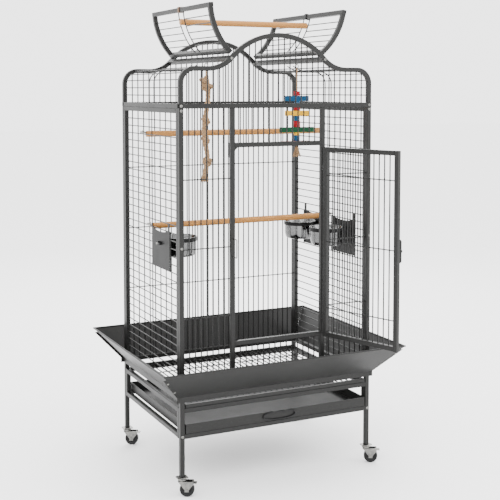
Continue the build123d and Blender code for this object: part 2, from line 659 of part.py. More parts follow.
def wings():
    """Both roof wings, each with the catch in the middle of its outer rail."""
    end_turn = radians(WING_END - degrees(TUBE / 2 / (HUMP_R - TUBE / 2)))
    middle_r = HUMP_R - TUBE / 2
    centre = (middle_r * cos(end_turn), 0, HUMP_Z + middle_r * sin(end_turn))
    section = Plane(origin=centre, x_dir=(cos(end_turn), 0, sin(end_turn)), z_dir=(0, 1, 0))
    outside = TUBE + 2 * CATCH_THICK
    with BuildPart() as catch:
        with BuildSketch(section.offset(-CATCH_WIDTH / 2)):
            RectangleRounded(outside, outside, CATCH_THICK - 0.1)
            Rectangle(TUBE, TUBE, mode=Mode.SUBTRACT)
        extrude(amount=CATCH_WIDTH)
    for name, side in (("wing_left", -1), ("wing_right", 1)):
        keep(name, *open_wing(wing() + [catch.part], side))


# ---------------------------------------------------------------- door
def door_knuckle(stile_face, z):
    """Barrel on the hinge stile that turns on one of the jamb's pins."""
    bore = DOOR_PIN_D / 2 + PIN_CLEARANCE
    outer = bore + KNUCKLE_WALL
    with BuildPart() as knuckle:
        with BuildSketch(Plane.XY.offset(z)):
            with Locations((DOOR_PIN_X, DOOR_PIN_Y)):
                Circle(outer)
            with Locations(((stile_face + DOOR_PIN_X) / 2, DOOR_PIN_Y)):
                Rectangle(DOOR_PIN_X - stile_face, 2 * outer)
            with Locations((DOOR_PIN_X, DOOR_PIN_Y)):
                Circle(bore, mode=Mode.SUBTRACT)
        extrude(amount=KNUCKLE_LENGTH)
    return knuckle.part


def door():
    """The front door, drawn shut in front of the doorway and swung open about its pin."""
    y = DOOR_PIN_Y
    right = DOOR_PIN_X - DOOR_EDGE_GAP
    left = right - DOOR_WIDTH
    top = DOOR_Z + DOOR_HEIGHT
    half = TUBE / 2
    stiles = tubes(Plane.XY.offset(DOOR_Z), [(left + half, y), (right - half, y)], DOOR_HEIGHT)
    run = DOOR_WIDTH - 2 * TUBE
    rails = tubes(along_x(left + TUBE, 0, 0), [(y, DOOR_Z + half), (y, top - half)], run)
    bars = upright_bars(y, left + TUBE, right - TUBE, DOOR_Z + TUBE, top - TUBE)
    cross = cross_wires(y + (BAR + WIRE) / 2, left + TUBE, right - TUBE, FRONT_CROSS_WIRES)
    knuckles = [door_knuckle(right, z) for z in HINGE_HEIGHTS]
    pin = Axis((DOOR_PIN_X, y, 0), (0, 0, 1))
    latch_z = DOOR_Z + DOOR_HEIGHT / 2
    with BuildPart() as plate:
        with BuildSketch(Plane(origin=(left + half, y - half, latch_z), x_dir=(1, 0, 0), z_dir=(0, -1, 0))):
            RectangleRounded(LATCH_PLATE[0], LATCH_PLATE[1], 3)
        extrude(amount=LATCH_PLATE[2])
    pivot = Plane(origin=(left + half, y - half - LATCH_PLATE[2], latch_z), x_dir=(1, 0, 0), z_dir=(0, -1, 0))
    with BuildPart() as boss:
        with BuildSketch(pivot):
            Circle(LATCH_BOSS / 2)
        extrude(amount=LATCH_BOSS_OUT)
    fixed = (stiles, rails, bars, cross, *knuckles, plate.part, boss.part)
    keep("door", *[piece.rotate(pin, DOOR_OPEN) for piece in fixed])
    with BuildPart() as lever:
        with BuildSketch(pivot.offset(LATCH_GAP)):
            SlotOverall(LATCH_LEVER[0], LATCH_LEVER[1], rotation=90)
            Circle(LATCH_BOSS / 2 + PIN_CLEARANCE, mode=Mode.SUBTRACT)
        extrude(amount=LATCH_LEVER[2])
    keep("door_latch", lever.part.rotate(pin, DOOR_OPEN))


def strike():
    """Bent wire on the left jamb that the latch turns behind."""
    y = -HALF_D
    middle_z = DOOR_Z + DOOR_HEIGHT / 2
    out = STRIKE_OUT
    x = JAMB_LEFT_X
    with BuildPart() as loop:
        with BuildLine() as route:
            FilletPolyline((x, y, middle_z + STRIKE_HALF), (x, y - out, middle_z + STRIKE_HALF),
                           (x, y - out, middle_z - STRIKE_HALF), (x, y, middle_z - STRIKE_HALF), radius=4)
        with BuildSketch(Plane(origin=(x, y, middle_z + STRIKE_HALF), x_dir=(1, 0, 0), z_dir=(0, -1, 0))):
            Circle(ROD / 2)
        sweep(path=route.wire())
    keep("door_strike", loop.part)


# ---------------------------------------------------------------- feeder hatches and bowls
def hatch(name, side, pin_y, way):
    """Plate with a scalloped top and a latch tongue, its knuckles, bowl ring and knob."""
    x = side * POST_X
    gap = HATCH_ROD / 2 + HATCH_GAP
    face = x + side * gap
    far = pin_y + way * HATCH_WIDTH
    near = pin_y + way * HATCH_NEAR
    top = HATCH_Z + HATCH_HEIGHT
    tongue = far - way * HATCH_TONGUE
    middle = (near + tongue) / 2
    bowl_x = x - side * BOWL_INSET
    bowl_y = pin_y + way * BOWL_FROM_PIN
    ring_r = BOWL_D / 2 + HOLDER_GAP
    ring_z = BOWL_RIM_Z - BOWL_RIM - HOLDER_GAP / 2 - HOLDER_HEIGHT
    pad_reach = abs(face - bowl_x)
    outer = gap + SHEET
    inner = HATCH_ROD / 2 + PIN_CLEARANCE
    with BuildPart() as body:
        with BuildSketch(Plane(origin=(face, 0, 0), x_dir=(0, 1, 0), z_dir=(side, 0, 0))):
            with BuildLine():
                Polyline((near, side * top), (near, side * HATCH_Z), (far, side * HATCH_Z),
                         (far, side * HATCH_TONGUE_Z), (tongue, side * HATCH_TONGUE_Z), (tongue, side * top))
                ThreePointArc((tongue, side * top), (middle, side * (top - HATCH_SCALLOP)),
                              (near, side * top))
            make_face()
        extrude(amount=SHEET)
        for z in (HATCH_Z + HATCH_KNUCKLE_IN, top - HATCH_KNUCKLE_IN - KNUCKLE_LENGTH):
            with BuildSketch(Plane.XY.offset(z)):
                with Locations((x, pin_y)):
                    Circle(outer)
                with Locations((face + side * SHEET / 2, (pin_y + near) / 2)):
                    Rectangle(SHEET, abs(near - pin_y) + HATCH_GAP)
            extrude(amount=KNUCKLE_LENGTH)
        with BuildSketch(Plane.XY.offset(ring_z)):
            with Locations((bowl_x, bowl_y)):
                Circle(ring_r + HOLDER_WALL)
            with Locations((bowl_x + side * pad_reach / 2, bowl_y)):
                Rectangle(pad_reach, HOLDER_PAD)
            with Locations((bowl_x, bowl_y)):
                Circle(ring_r, mode=Mode.SUBTRACT)
        extrude(amount=HOLDER_HEIGHT)
        with BuildSketch(Plane.XY.offset(HATCH_Z)):
            with Locations((x, pin_y)):
                Circle(inner)
        extrude(amount=HATCH_HEIGHT, mode=Mode.SUBTRACT)
        stud_foot = (face + side * SHEET, bowl_y, KNOB_Z)
        with BuildSketch(Plane(origin=stud_foot, x_dir=(0, 1, 0), z_dir=(side, 0, 0))):
            Circle(KNOB_STUD / 2)
        extrude(amount=KNOB_OUT + KNOB_GAP)
    keep(name, body.part)
    knob_foot = (face + side * (SHEET + KNOB_GAP), bowl_y, KNOB_Z)
    stud = Plane(origin=knob_foot, x_dir=(0, 1, 0), z_dir=(side, 0, 0))
    with BuildPart() as knob:
        with BuildSketch(stud):
            Circle(KNOB_D / 2)
            SlotOverall(KNOB_WING, KNOB_D / 2)
            Circle(KNOB_STUD / 2 + PIN_CLEARANCE, mode=Mode.SUBTRACT)
        extrude(amount=KNOB_OUT)
    keep(name + "_knob", knob.part)


def bowl(name, side, pin_y, way):
    """Spun steel bowl with a flat rim that rests on the hatch's ring."""
    centre = (side * (POST_X - BOWL_INSET), pin_y + way * BOWL_FROM_PIN)
    foot = BOWL_RIM_Z - BOWL_HEIGHT
    top_r = BOWL_D / 2
    foot_r = BOWL_FOOT_D / 2
    with BuildPart() as body:
        with BuildSketch(Plane(origin=(*centre, 0), x_dir=(1, 0, 0), z_dir=(0, -1, 0))):
            with BuildLine():
                Polyline((0, foot), (foot_r, foot), (top_r, foot + BOWL_SHOULDER),
                         (top_r, BOWL_RIM_Z - BOWL_WALL),
                         (top_r + BOWL_RIM, BOWL_RIM_Z - BOWL_WALL), (top_r + BOWL_RIM, BOWL_RIM_Z),
                         (top_r - BOWL_WALL, BOWL_RIM_Z), (top_r - BOWL_WALL, foot + BOWL_SHOULDER),
                         (foot_r - BOWL_WALL / 2, foot + BOWL_WALL), (0, foot + BOWL_WALL), close=True)
            make_face()
        revolve(axis=Axis((*centre, 0), (0, 0, 1)))
    keep(name, body.part)


def feeders():
    """The three hatches, each with its bowl."""
    for name, (side, pin_y, way) in zip(HATCH_NAMES, HATCH_STARTS):
        hatch("hatch_" + name, side, pin_y, way)
        bowl("bowl_" + name, side, pin_y, way)


# ---------------------------------------------------------------- perches
def dowel(name, low_x, high_x, y, z):
    """Turned wooden perch with eased ends."""
    with BuildPart() as piece:
        with BuildSketch(along_x(low_x, y, z)):
            Circle(PERCH_D / 2)
        extrude(amount=high_x - low_x)
        chamfer(piece.edges(), PERCH_CHAMFER)
    keep(name, piece.part)


def perches():
    """Two perches bolted between the sides, and the loose one across the open wings."""
    reach = POST_X - WIRE / 2 - WIRE - PERCH_GAP
    outside = POST_X + WIRE / 2 + PERCH_GAP
    for name, (y, z) in (("perch_lower", LOWER_PERCH), ("perch_upper", UPPER_PERCH)):
        dowel(name, -reach, reach, y, z)
    pieces = []
    for y, z in (LOWER_PERCH, UPPER_PERCH):
        spot = [(y + PERCH_BOLT_STEP, z + PERCH_BOLT_RISE)]
        for side in (-1, 1):
            low = reach if side > 0 else -outside - PERCH_WASHER
            pieces.append(rods(along_x(low, 0, 0), spot, outside + PERCH_WASHER - reach, PERCH_BOLT))
            washer_low = outside if side > 0 else -outside - PERCH_WASHER
            washer = rods(along_x(washer_low, 0, 0), spot, PERCH_WASHER, PERCH_WASHER_D)
            pieces.append(washer - pieces[-1])
            nut_low = outside + PERCH_WASHER if side > 0 else -outside - PERCH_WASHER - PERCH_NUT
            with BuildPart() as nut:
                with BuildSketch(along_x(nut_low, *spot[0])):
                    SlotOverall(2 * PERCH_WASHER_D - PERCH_BOLT, PERCH_BOLT + 2)
                    Circle(PERCH_BOLT)
                extrude(amount=PERCH_NUT)
            pieces.append(nut.part)
    dowel("perch_top", *TOP_PERCH_X, 0, TOP_PERCH_Z)
    keep("perch_bolts", *pieces)


# ---------------------------------------------------------------- toys
def corner_radii(points):
    """Radii that let the rope turn as gently at each point as its two runs allow."""
    radii = []
    for before, at, after in zip(points, points[1:], points[2:]):
        run_in = Vector(*at) - Vector(*before)
        run_out = Vector(*after) - Vector(*at)
        turn = radians(run_in.get_angle(run_out))
        radii.append(0.45 * min(run_in.length, run_out.length) / tan(turn / 2))
    return radii


def toy_top(side):
    """Where a toy starts, just under its eye."""
    x, z = rail_middle(side)
    return x, z - EYE_DROP - EYE_R - EYE_ROD / 2 - TOY_GAP


def rope_toy():
    """Knotted sisal rope that hangs from the left roof rail."""
    x, top = toy_top(-1)
    y = ROPE_TOY_Y
    points = [(x + step, y, height) for step, height in ROPE_ROUTE]
    radii = corner_radii(points)
    print("rope radii", [round(radius) for radius in radii])
    with BuildPart() as rope:
        with BuildLine() as route:
            FilletPolyline(*points, radius=radii)
        start = Vector(*points[1]) - Vector(*points[0])
        with BuildSketch(Plane(origin=points[0], z_dir=start)):
            Circle(ROPE_D / 2)
        sweep(path=route.wire())
    print("rope volume over section times length",
          round(rope.part.volume / (pi * ROPE_D ** 2 / 4 * route.wire().length), 4))
    line = rods(Plane.XY.offset(points[0][2]), [(x, y)], top - points[0][2], STRING_D)
    keep("rope_toy_rope", rope.part, line - rope.part)
    foot = points[-1]
    tassel_top, tassel_foot, top_r, foot_r = ROPE_TASSEL
    with BuildPart() as knots:
        for height, radius, step in ROPE_KNOTS:
            with Locations((x + step, y, height)):
                Sphere(radius, rotation=(90, 0, 0))
        with BuildSketch(Plane.XY.offset(tassel_foot)):
            with Locations((foot[0], y)):
                Circle(foot_r)
        with BuildSketch(Plane.XY.offset(tassel_top)):
            with Locations((foot[0], y)):
                Circle(top_r)
        loft()
        add(rope.part, mode=Mode.SUBTRACT)
    keep("rope_toy_knots", knots.part)


def rail_middle(side):
    """Middle of a fixed roof rail, seen along Y."""
    slope = radians(PIN_ANGLE)
    drop = WING_PIN_OUT + TUBE / 2
    x = side * (WING_PIN_X + ROOF_RAIL_STEP * sin(slope) - drop * cos(slope))
    z = WING_PIN_Z - ROOF_RAIL_STEP * cos(slope) - drop * sin(slope)
    return x, z


def toy_eye(side, y):
    """Wire eye welded under a fixed roof rail."""
    x, z = rail_middle(side)
    with BuildPart() as eye:
        with BuildSketch(Plane.XY.offset(z - EYE_DROP + EYE_R)):
            with Locations((x, y)):
                Circle(EYE_ROD / 2)
        extrude(amount=EYE_DROP - EYE_R)
        with Locations(Plane(origin=(x, y, z - EYE_DROP), x_dir=(1, 0, 0), z_dir=(0, -1, 0))):
            Torus(EYE_R, EYE_ROD / 2)
        with BuildSketch(roof_rail_section(side)):
            Rectangle(TUBE, TUBE)
        extrude(amount=SIDE_LENGTH, mode=Mode.SUBTRACT)
    return eye.part


def block_toy():
    """String of beads and cross blocks with a tassel, hung from the right roof rail."""
    x, top = toy_top(1)
    y = BLOCK_TOY_Y
    string = rods(Plane.XY.offset(BLOCK_TASSEL[1]), [(x, y)], top - BLOCK_TASSEL[1], STRING_D)
    groups = {}
    z = BLOCKS_TOP
    for colour, width, height, across in BLOCKS:
        z -= height
        with BuildPart() as piece:
            with BuildSketch(Plane.XY.offset(z)):
                with Locations((x + across, y)):
                    if width > BLOCK_DEEP * 2:
                        RectangleRounded(width, BLOCK_DEEP, BLOCK_DEEP / 2 - 1)
                    else:
                        Circle(width / 2)
                with Locations((x, y)):
                    Circle(STRING_D / 2, mode=Mode.SUBTRACT)
            extrude(amount=height - BLOCK_GAP)
        groups.setdefault(colour, []).append(piece.part)
    for colour, pieces in groups.items():
        keep("block_toy_" + colour, *pieces)
    tassel_top, tassel_foot, top_r, foot_r = BLOCK_TASSEL
    with BuildPart() as tassel:
        with BuildSketch(Plane.XY.offset(tassel_foot)):
            with Locations((x, y)):
                Circle(foot_r)
        with BuildSketch(Plane.XY.offset(tassel_top)):
            with Locations((x, y)):
                Circle(top_r)
        loft()
    keep("block_toy_string", string - tassel.part, tassel.part)


# ---------------------------------------------------------------- skirt
def skirt_strip(plane, face, reach, drop=0.0):
    """Sheet strip that flares up and outwards from the cage's face, along a plane's normal."""
    top = SKIRT_TOP_Z - drop
    out = face + SHEET + (top - SKIRT_FOOT_Z) * tan(SKIRT_TILT)
    over = SHEET / cos(SKIRT_TILT)
    with BuildPart() as piece:
        with BuildSketch(plane.offset(-reach)):
            with BuildLine():
                Polyline((face, SKIRT_FOOT_Z - SKIRT_LIP), (face + SHEET, SKIRT_FOOT_Z - SKIRT_LIP),
                         (face + SHEET, SKIRT_FOOT_Z), (out, top), (out - over, top), (face, SKIRT_FOOT_Z),
                         close=True)
            make_face()
        extrude(amount=2 * reach)
    return piece.part


def skirt_hem(plane, face, reach):
    """Rolled edge along the top of a skirt strip."""
    spot = (face + SKIRT_FLARE, SKIRT_TOP_Z)
    return rods(plane.offset(-reach), [spot], 2 * reach, 2 * SKIRT_HEM_R)


def mitred(sheet, plane, out, low, high):
    """What a strip has between two 45 degree cuts; low and high are where the cuts meet the foot."""
    with BuildPart() as piece:
        add(sheet)
        for at, way in ((low, -1), (high, 1)):
            lean = way if at * way > 0 else -way
            point = plane.from_local_coords((out, 0, at))
            toward = plane.from_local_coords((-lean * way, 0, way)) - plane.origin
            split(bisect_by=Plane(origin=point, z_dir=toward), keep=Keep.BOTTOM)
    return piece.part


def skirt():
    """Four flared sheets with mitred corners; the side sheets carry the corner flanges."""
    reach = HALF_W + SKIRT_FLARE * 2
    flanges = {-1: [], 1: []}
    for name, out_y in (("skirt_front", -1), ("skirt_back", 1)):
        plane = Plane(origin=(0, 0, 0), x_dir=(0, out_y, 0), z_dir=(out_y, 0, 0))
        strip = skirt_strip(plane, HALF_D, reach)
        short = skirt_strip(plane, HALF_D, reach, SKIRT_FLANGE_DROP)
        whole = strip + skirt_hem(plane, HALF_D, reach)
        run = HALF_W - SKIRT_CORNER_GAP
        keep(name, mitred(whole, plane, HALF_D, -run, run))
        for way in (-1, 1):
            ends = sorted((way * HALF_W, way * (HALF_W + SKIRT_FLANGE)))
            flanges[way * out_y].append(mitred(short, plane, HALF_D, *ends))
    for name, out_x in (("skirt_left", -1), ("skirt_right", 1)):
        plane = Plane(origin=(0, 0, 0), x_dir=(out_x, 0, 0), z_dir=(0, -out_x, 0))
        whole = skirt_strip(plane, HALF_W, reach) + skirt_hem(plane, HALF_W, reach)
        keep(name, mitred(whole, plane, HALF_W, -HALF_D, HALF_D), *flanges[out_x])


# ---------------------------------------------------------------- casters
def caster(name, x, y):
    """Swivel caster: plate with its stem, fork, wheel and brake lever."""
    turn = radians(CASTER_ANGLE)
    lead = (cos(turn), sin(turn), 0)
    centre_x = x + CASTER_TRAIL * cos(turn)
    centre_y = y + CASTER_TRAIL * sin(turn)
    axle_z = WHEEL_D / 2
    crown_z = LEG_FOOT - PLATE_THICK - SWIVEL_GAP
    bridge_z = WHEEL_D + FORK_GAP
    across = Plane(origin=(centre_x, centre_y, 0), x_dir=lead, z_dir=(sin(turn), -cos(turn), 0))
    half_gap = WHEEL_WIDTH / 2 + FORK_GAP
    with BuildPart() as fork:
        for way in (-1, 1):
            with BuildSketch(across.offset(way * (half_gap + FORK_SHEET / 2) - FORK_SHEET / 2)):
                with BuildLine():
                    Polyline((-CASTER_TRAIL - CROWN_D / 2, bridge_z + FORK_SHEET), (-FORK_FOOT / 2, axle_z),
                             (-FORK_FOOT / 2, axle_z - FORK_FOOT / 2),
                             (FORK_FOOT / 2, axle_z - FORK_FOOT / 2),
                             (FORK_FOOT / 2, axle_z), (EAR_OUT + EAR_R, axle_z + EAR_UP - EAR_R),
                             (EAR_OUT + EAR_R, bridge_z + FORK_SHEET), close=True)
                make_face()
            extrude(amount=FORK_SHEET)
        with BuildSketch(Plane(origin=(x, y, bridge_z), x_dir=lead, z_dir=(0, 0, 1))):
            Rectangle(CROWN_D, 2 * half_gap + 2 * FORK_SHEET)
        extrude(amount=FORK_SHEET)
        with BuildSketch(Plane.XY.offset(bridge_z + FORK_SHEET)):
            with Locations((x, y)):
                Circle(CROWN_D / 2)
        extrude(amount=crown_z - bridge_z - FORK_SHEET)
        with BuildSketch(Plane.XY.offset(bridge_z)):
            with Locations((x, y)):
                Circle(KING_D / 2 + PIN_CLEARANCE)
        extrude(amount=crown_z - bridge_z, mode=Mode.SUBTRACT)
        with BuildSketch(across.offset(-half_gap - FORK_SHEET)):
            with Locations((0, axle_z)):
                Circle(WHEEL_BORE / 2 - PIN_CLEARANCE)
            with Locations((EAR_OUT, axle_z + EAR_UP)):
                Circle(LEVER_PIN / 2)
        extrude(amount=2 * half_gap + 2 * FORK_SHEET)
    keep(name + "_fork", fork.part)
    with BuildPart() as wheel:
        with BuildSketch(across.offset(-WHEEL_WIDTH / 2)):
            with Locations((0, axle_z)):
                Circle(WHEEL_D / 2)
                Circle(WHEEL_BORE / 2, mode=Mode.SUBTRACT)
        extrude(amount=WHEEL_WIDTH)
        rims = wheel.edges().filter_by(GeomType.CIRCLE).sort_by(SortBy.RADIUS)[-2:]
        fillet(rims, WHEEL_ROUND)
    keep(name + "_wheel", wheel.part)
    half_lever = half_gap - LEVER_GAP
    with BuildPart() as lever:
        with BuildSketch(across.offset(-half_lever)):
            with Locations((EAR_OUT, axle_z + EAR_UP)):
                Circle(LEVER_BARREL / 2)
            with Locations((EAR_OUT + LEVER_REACH / 2, axle_z + EAR_UP)):
                Rectangle(LEVER_REACH, FORK_SHEET)
            with Locations((EAR_OUT, axle_z + EAR_UP)):
                Circle(LEVER_PIN / 2 + PIN_CLEARANCE, mode=Mode.SUBTRACT)
        extrude(amount=2 * half_lever)
    keep(name + "_brake", lever.part)


def caster_plate(x, y):
    """Plate under a leg with the king pin that a fork turns on."""
    with BuildPart() as mount:
        with BuildSketch(Plane.XY.offset(LEG_FOOT - PLATE_THICK)):
            with Locations((x, y)):
                RectangleRounded(CASTER_PLATE, CASTER_PLATE - 8, 4)
        extrude(amount=PLATE_THICK)
        with BuildSketch(Plane.XY.offset(LEG_FOOT - PLATE_THICK - KING_LENGTH)):
            with Locations((x, y)):
                Circle(KING_D / 2)
        extrude(amount=KING_LENGTH)
    return mount.part


def casters():
    """One caster under each leg."""
    places = (("caster_front_left", -POST_X, -PANEL_Y), ("caster_front_right", POST_X, -PANEL_Y),
              ("caster_rear_left", -POST_X, PANEL_Y), ("caster_rear_right", POST_X, PANEL_Y))
    for name, x, y in places:
        caster(name, x, y)
    keep("caster_plates", *[caster_plate(x, y) for _, x, y in places])


# ---------------------------------------------------------------- fasteners
def flange_screw(side, way, z):
    """Screw head in the middle of a corner flange, square to its sheet."""
    out = (z - SKIRT_FOOT_Z) * tan(SKIRT_TILT)
    middle = (side * (HALF_W + out + SKIRT_FLANGE / 2), way * (HALF_D + out + SHEET), z)
    with BuildPart() as head:
        outward = (0, way * cos(SKIRT_TILT), -sin(SKIRT_TILT))
        with BuildSketch(Plane(origin=middle, x_dir=(1, 0, 0), z_dir=outward)):
            Circle(SKIRT_SCREW_D / 2)
        extrude(amount=SCREW_OUT)
    return head.part


def screws():
    """Bright screw heads on the posts, the legs, the arches and the skirt's corners."""
    pieces = []
    rail_x, rail_z = rail_middle(1)
    for way in (-1, 1):
        face = way * HALF_D
        start = face if way > 0 else face - SCREW_OUT
        post_spots = [(z, side * POST_X) for side in (-1, 1) for z in SCREW_HEIGHTS]
        roof_spots = [(rail_z, side * rail_x) for side in (-1, 1)]
        pieces.append(rods(along_y(0, start, 0), post_spots + roof_spots, SCREW_OUT, SCREW_D))
        for side in (-1, 1):
            pieces += [flange_screw(side, way, z) for z in SKIRT_SCREW_HEIGHTS]
    keep("screws", *pieces)


# ---------------------------------------------------------------- writing out
def save_all():
    """Move the cage so the origin is under the middle of its whole box, and write every sub-part."""
    boxes = [node.bounding_box() for node in NODES.values()]
    shift = -(min(box.min.Y for box in boxes) + max(box.max.Y for box in boxes)) / 2
    print("shift along Y", round(shift, 4))
    os.makedirs("parts", exist_ok=True)
    for name, node in NODES.items():
        placed = node.moved(Location((0, shift, 0)))
        placed.label = name
        export_step(placed, "parts/" + name + ".step")
    print(len(NODES), "sub-parts")


stand()
tray()
grate()
front_panel()
back_panel()
side_panel("left_panel", -1)
side_panel("right_panel", 1)
arch("front_arch", -PANEL_Y)
arch("back_arch", PANEL_Y)
shoulder("left_shoulder", -1)
shoulder("right_shoulder", 1)
roof_rails()
wings()
door()
strike()
feeders()
perches()
rope_toy()
block_toy()
skirt()
casters()
screws()
save_all()
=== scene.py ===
"""Looks of a parrot cage on its castered stand: powder coat, pine, sisal, steel and dyed wood."""

import json
import logging
import math
from dataclasses import dataclass
from enum import Enum

import bmesh
import bpy
import numpy as np
from mathutils import Matrix, Vector


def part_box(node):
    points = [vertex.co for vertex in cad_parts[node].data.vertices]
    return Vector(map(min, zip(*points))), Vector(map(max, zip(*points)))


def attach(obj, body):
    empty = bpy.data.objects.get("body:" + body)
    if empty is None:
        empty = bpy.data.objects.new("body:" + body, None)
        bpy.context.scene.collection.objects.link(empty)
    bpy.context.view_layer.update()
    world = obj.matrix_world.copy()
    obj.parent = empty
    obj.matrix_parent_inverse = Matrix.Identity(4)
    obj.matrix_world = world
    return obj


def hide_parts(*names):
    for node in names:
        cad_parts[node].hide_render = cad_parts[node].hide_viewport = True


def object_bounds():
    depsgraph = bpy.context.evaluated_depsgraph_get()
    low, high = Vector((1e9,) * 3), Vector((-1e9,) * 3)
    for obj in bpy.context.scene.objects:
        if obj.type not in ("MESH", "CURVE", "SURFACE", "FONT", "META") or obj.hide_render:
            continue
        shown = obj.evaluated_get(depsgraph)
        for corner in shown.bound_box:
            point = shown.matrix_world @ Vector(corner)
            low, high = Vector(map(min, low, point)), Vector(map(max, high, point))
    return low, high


LOG = logging.getLogger("bird_cage")
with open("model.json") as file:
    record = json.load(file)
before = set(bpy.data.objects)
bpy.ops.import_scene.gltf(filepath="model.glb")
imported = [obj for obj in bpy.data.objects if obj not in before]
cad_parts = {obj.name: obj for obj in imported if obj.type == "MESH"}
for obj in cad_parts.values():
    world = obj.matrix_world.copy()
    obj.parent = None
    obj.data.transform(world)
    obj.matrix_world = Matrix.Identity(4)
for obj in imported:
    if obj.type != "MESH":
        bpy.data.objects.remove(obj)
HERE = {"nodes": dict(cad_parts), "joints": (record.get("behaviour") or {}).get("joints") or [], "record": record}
CAD_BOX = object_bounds()
Colour = tuple[float, float, float]

SEAM = 2e-6            # corners nearer than this, in metres, are one corner
FLAT_ANGLE = 1.0       # faces that meet at less than this, in degrees, are one face
SHARP_ANGLE = 0.6      # edges that turn by more than this, in radians, are rounded over
EASED_CREASE = 30.0    # edges of an eased piece that stay sharp, in degrees
CORD_CREASE = 60.0     # edges of a cord that stay sharp, in degrees


class Slot(Enum):
    """The record's material slots that the new pieces take their finish from."""

    CHARCOAL = "charcoal"
    ZINC = "zinc"
    STAINLESS = "stainless"
    BLACK_METAL = "black_metal"
    BLACK_PLASTIC = "black_plastic"
    TYRE = "tyre_black"
    PINE = "pine"
    SISAL = "sisal"
    RED = "toy_red"
    BLUE = "toy_blue"
    YELLOW = "toy_yellow"
    GREEN = "toy_green"


# ---------------------------------------------------------------- node trees
class NodeWorks:
    """Adds nodes to one tree, whether it shades a surface or makes a shape."""

    def __init__(self, tree: bpy.types.NodeTree) -> None:
        """Keeps the tree that nodes are added to."""
        self.tree = tree

    def put(self, socket: bpy.types.NodeSocket, value: object) -> None:
        """Links a value's socket into a socket, or sets a plain number, vector or colour on it.

        Args:
            socket: the input that is fed.
            value: a Value, a socket, or what the socket holds.
        """
        source = value.socket if isinstance(value, Value) else value
        if isinstance(source, bpy.types.NodeSocket):
            self.tree.links.new(source, socket)
        elif socket.type == "RGBA" and len(source) == 3:
            socket.default_value = (*source, 1.0)
        else:
            socket.default_value = source

    def node(self, kind: str, settings: dict | None = None, inputs: dict | None = None,
             output: int | str = 0) -> "Value":
        """Adds one node.

        Args:
            kind: the node's type name.
            settings: properties of the node, set before its sockets; "ramp" holds a ramp's stops.
            inputs: values or links of its sockets, by name or place.
            output: name or place of the output that is returned.

        Returns:
            The chosen output as a Value.
        """
        made = self.tree.nodes.new(kind)
        for key, setting in (settings or {}).items():
            if key == "ramp":
                self._stops(made.color_ramp, setting)
            else:
                setattr(made, key, setting)
        for key, value in (inputs or {}).items():
            self.put(made.inputs[key], value)
        return Value(self, made.outputs[output])

    @staticmethod
    def _stops(ramp: bpy.types.ColorRamp, stops: list[tuple[float, Colour]]) -> None:
        """Gives a ramp its stops, each a place and a colour."""
        while len(ramp.elements) < len(stops):
            ramp.elements.new(1.0)
        for element, (place, colour) in zip(ramp.elements, stops):
            element.position = place
            element.color = (*colour, 1.0)


class Value:
    """A number that varies over a surface, on which Python's operators add Math nodes."""

    def __init__(self, works: NodeWorks, socket: bpy.types.NodeSocket) -> None:
        """Keeps the socket and the tree that it is in."""
        self.works = works
        self.socket = socket

    def _math(self, operation: str, first: object, second: object = 0.0) -> "Value":
        """Adds one Math node."""
        math_kind = "ShaderNodeMath"
        return self.works.node(math_kind, {"operation": operation}, {0: first, 1: second})

    def __add__(self, other: object) -> "Value":
        """self + other."""
        return self._math("ADD", self, other)

    __radd__ = __add__

    def __sub__(self, other: object) -> "Value":
        """self - other."""
        return self._math("SUBTRACT", self, other)

    def __rsub__(self, other: object) -> "Value":
        """other - self."""
        return self._math("SUBTRACT", other, self)

    def __mul__(self, other: object) -> "Value":
        """self * other."""
        return self._math("MULTIPLY", self, other)

    __rmul__ = __mul__

    def __truediv__(self, other: object) -> "Value":
        """self / other."""
        return self._math("DIVIDE", self, other)

    def __pow__(self, other: object) -> "Value":
        """self to the power of other."""
        return self._math("POWER", self, other)

    def past(self, edge: float, width: float) -> "Value":
        """Rises from 0 to 1 as self goes from edge to edge + width."""
        rise = (self - edge) / width
        return self.works.node("ShaderNodeClamp", {}, {"Value": rise})


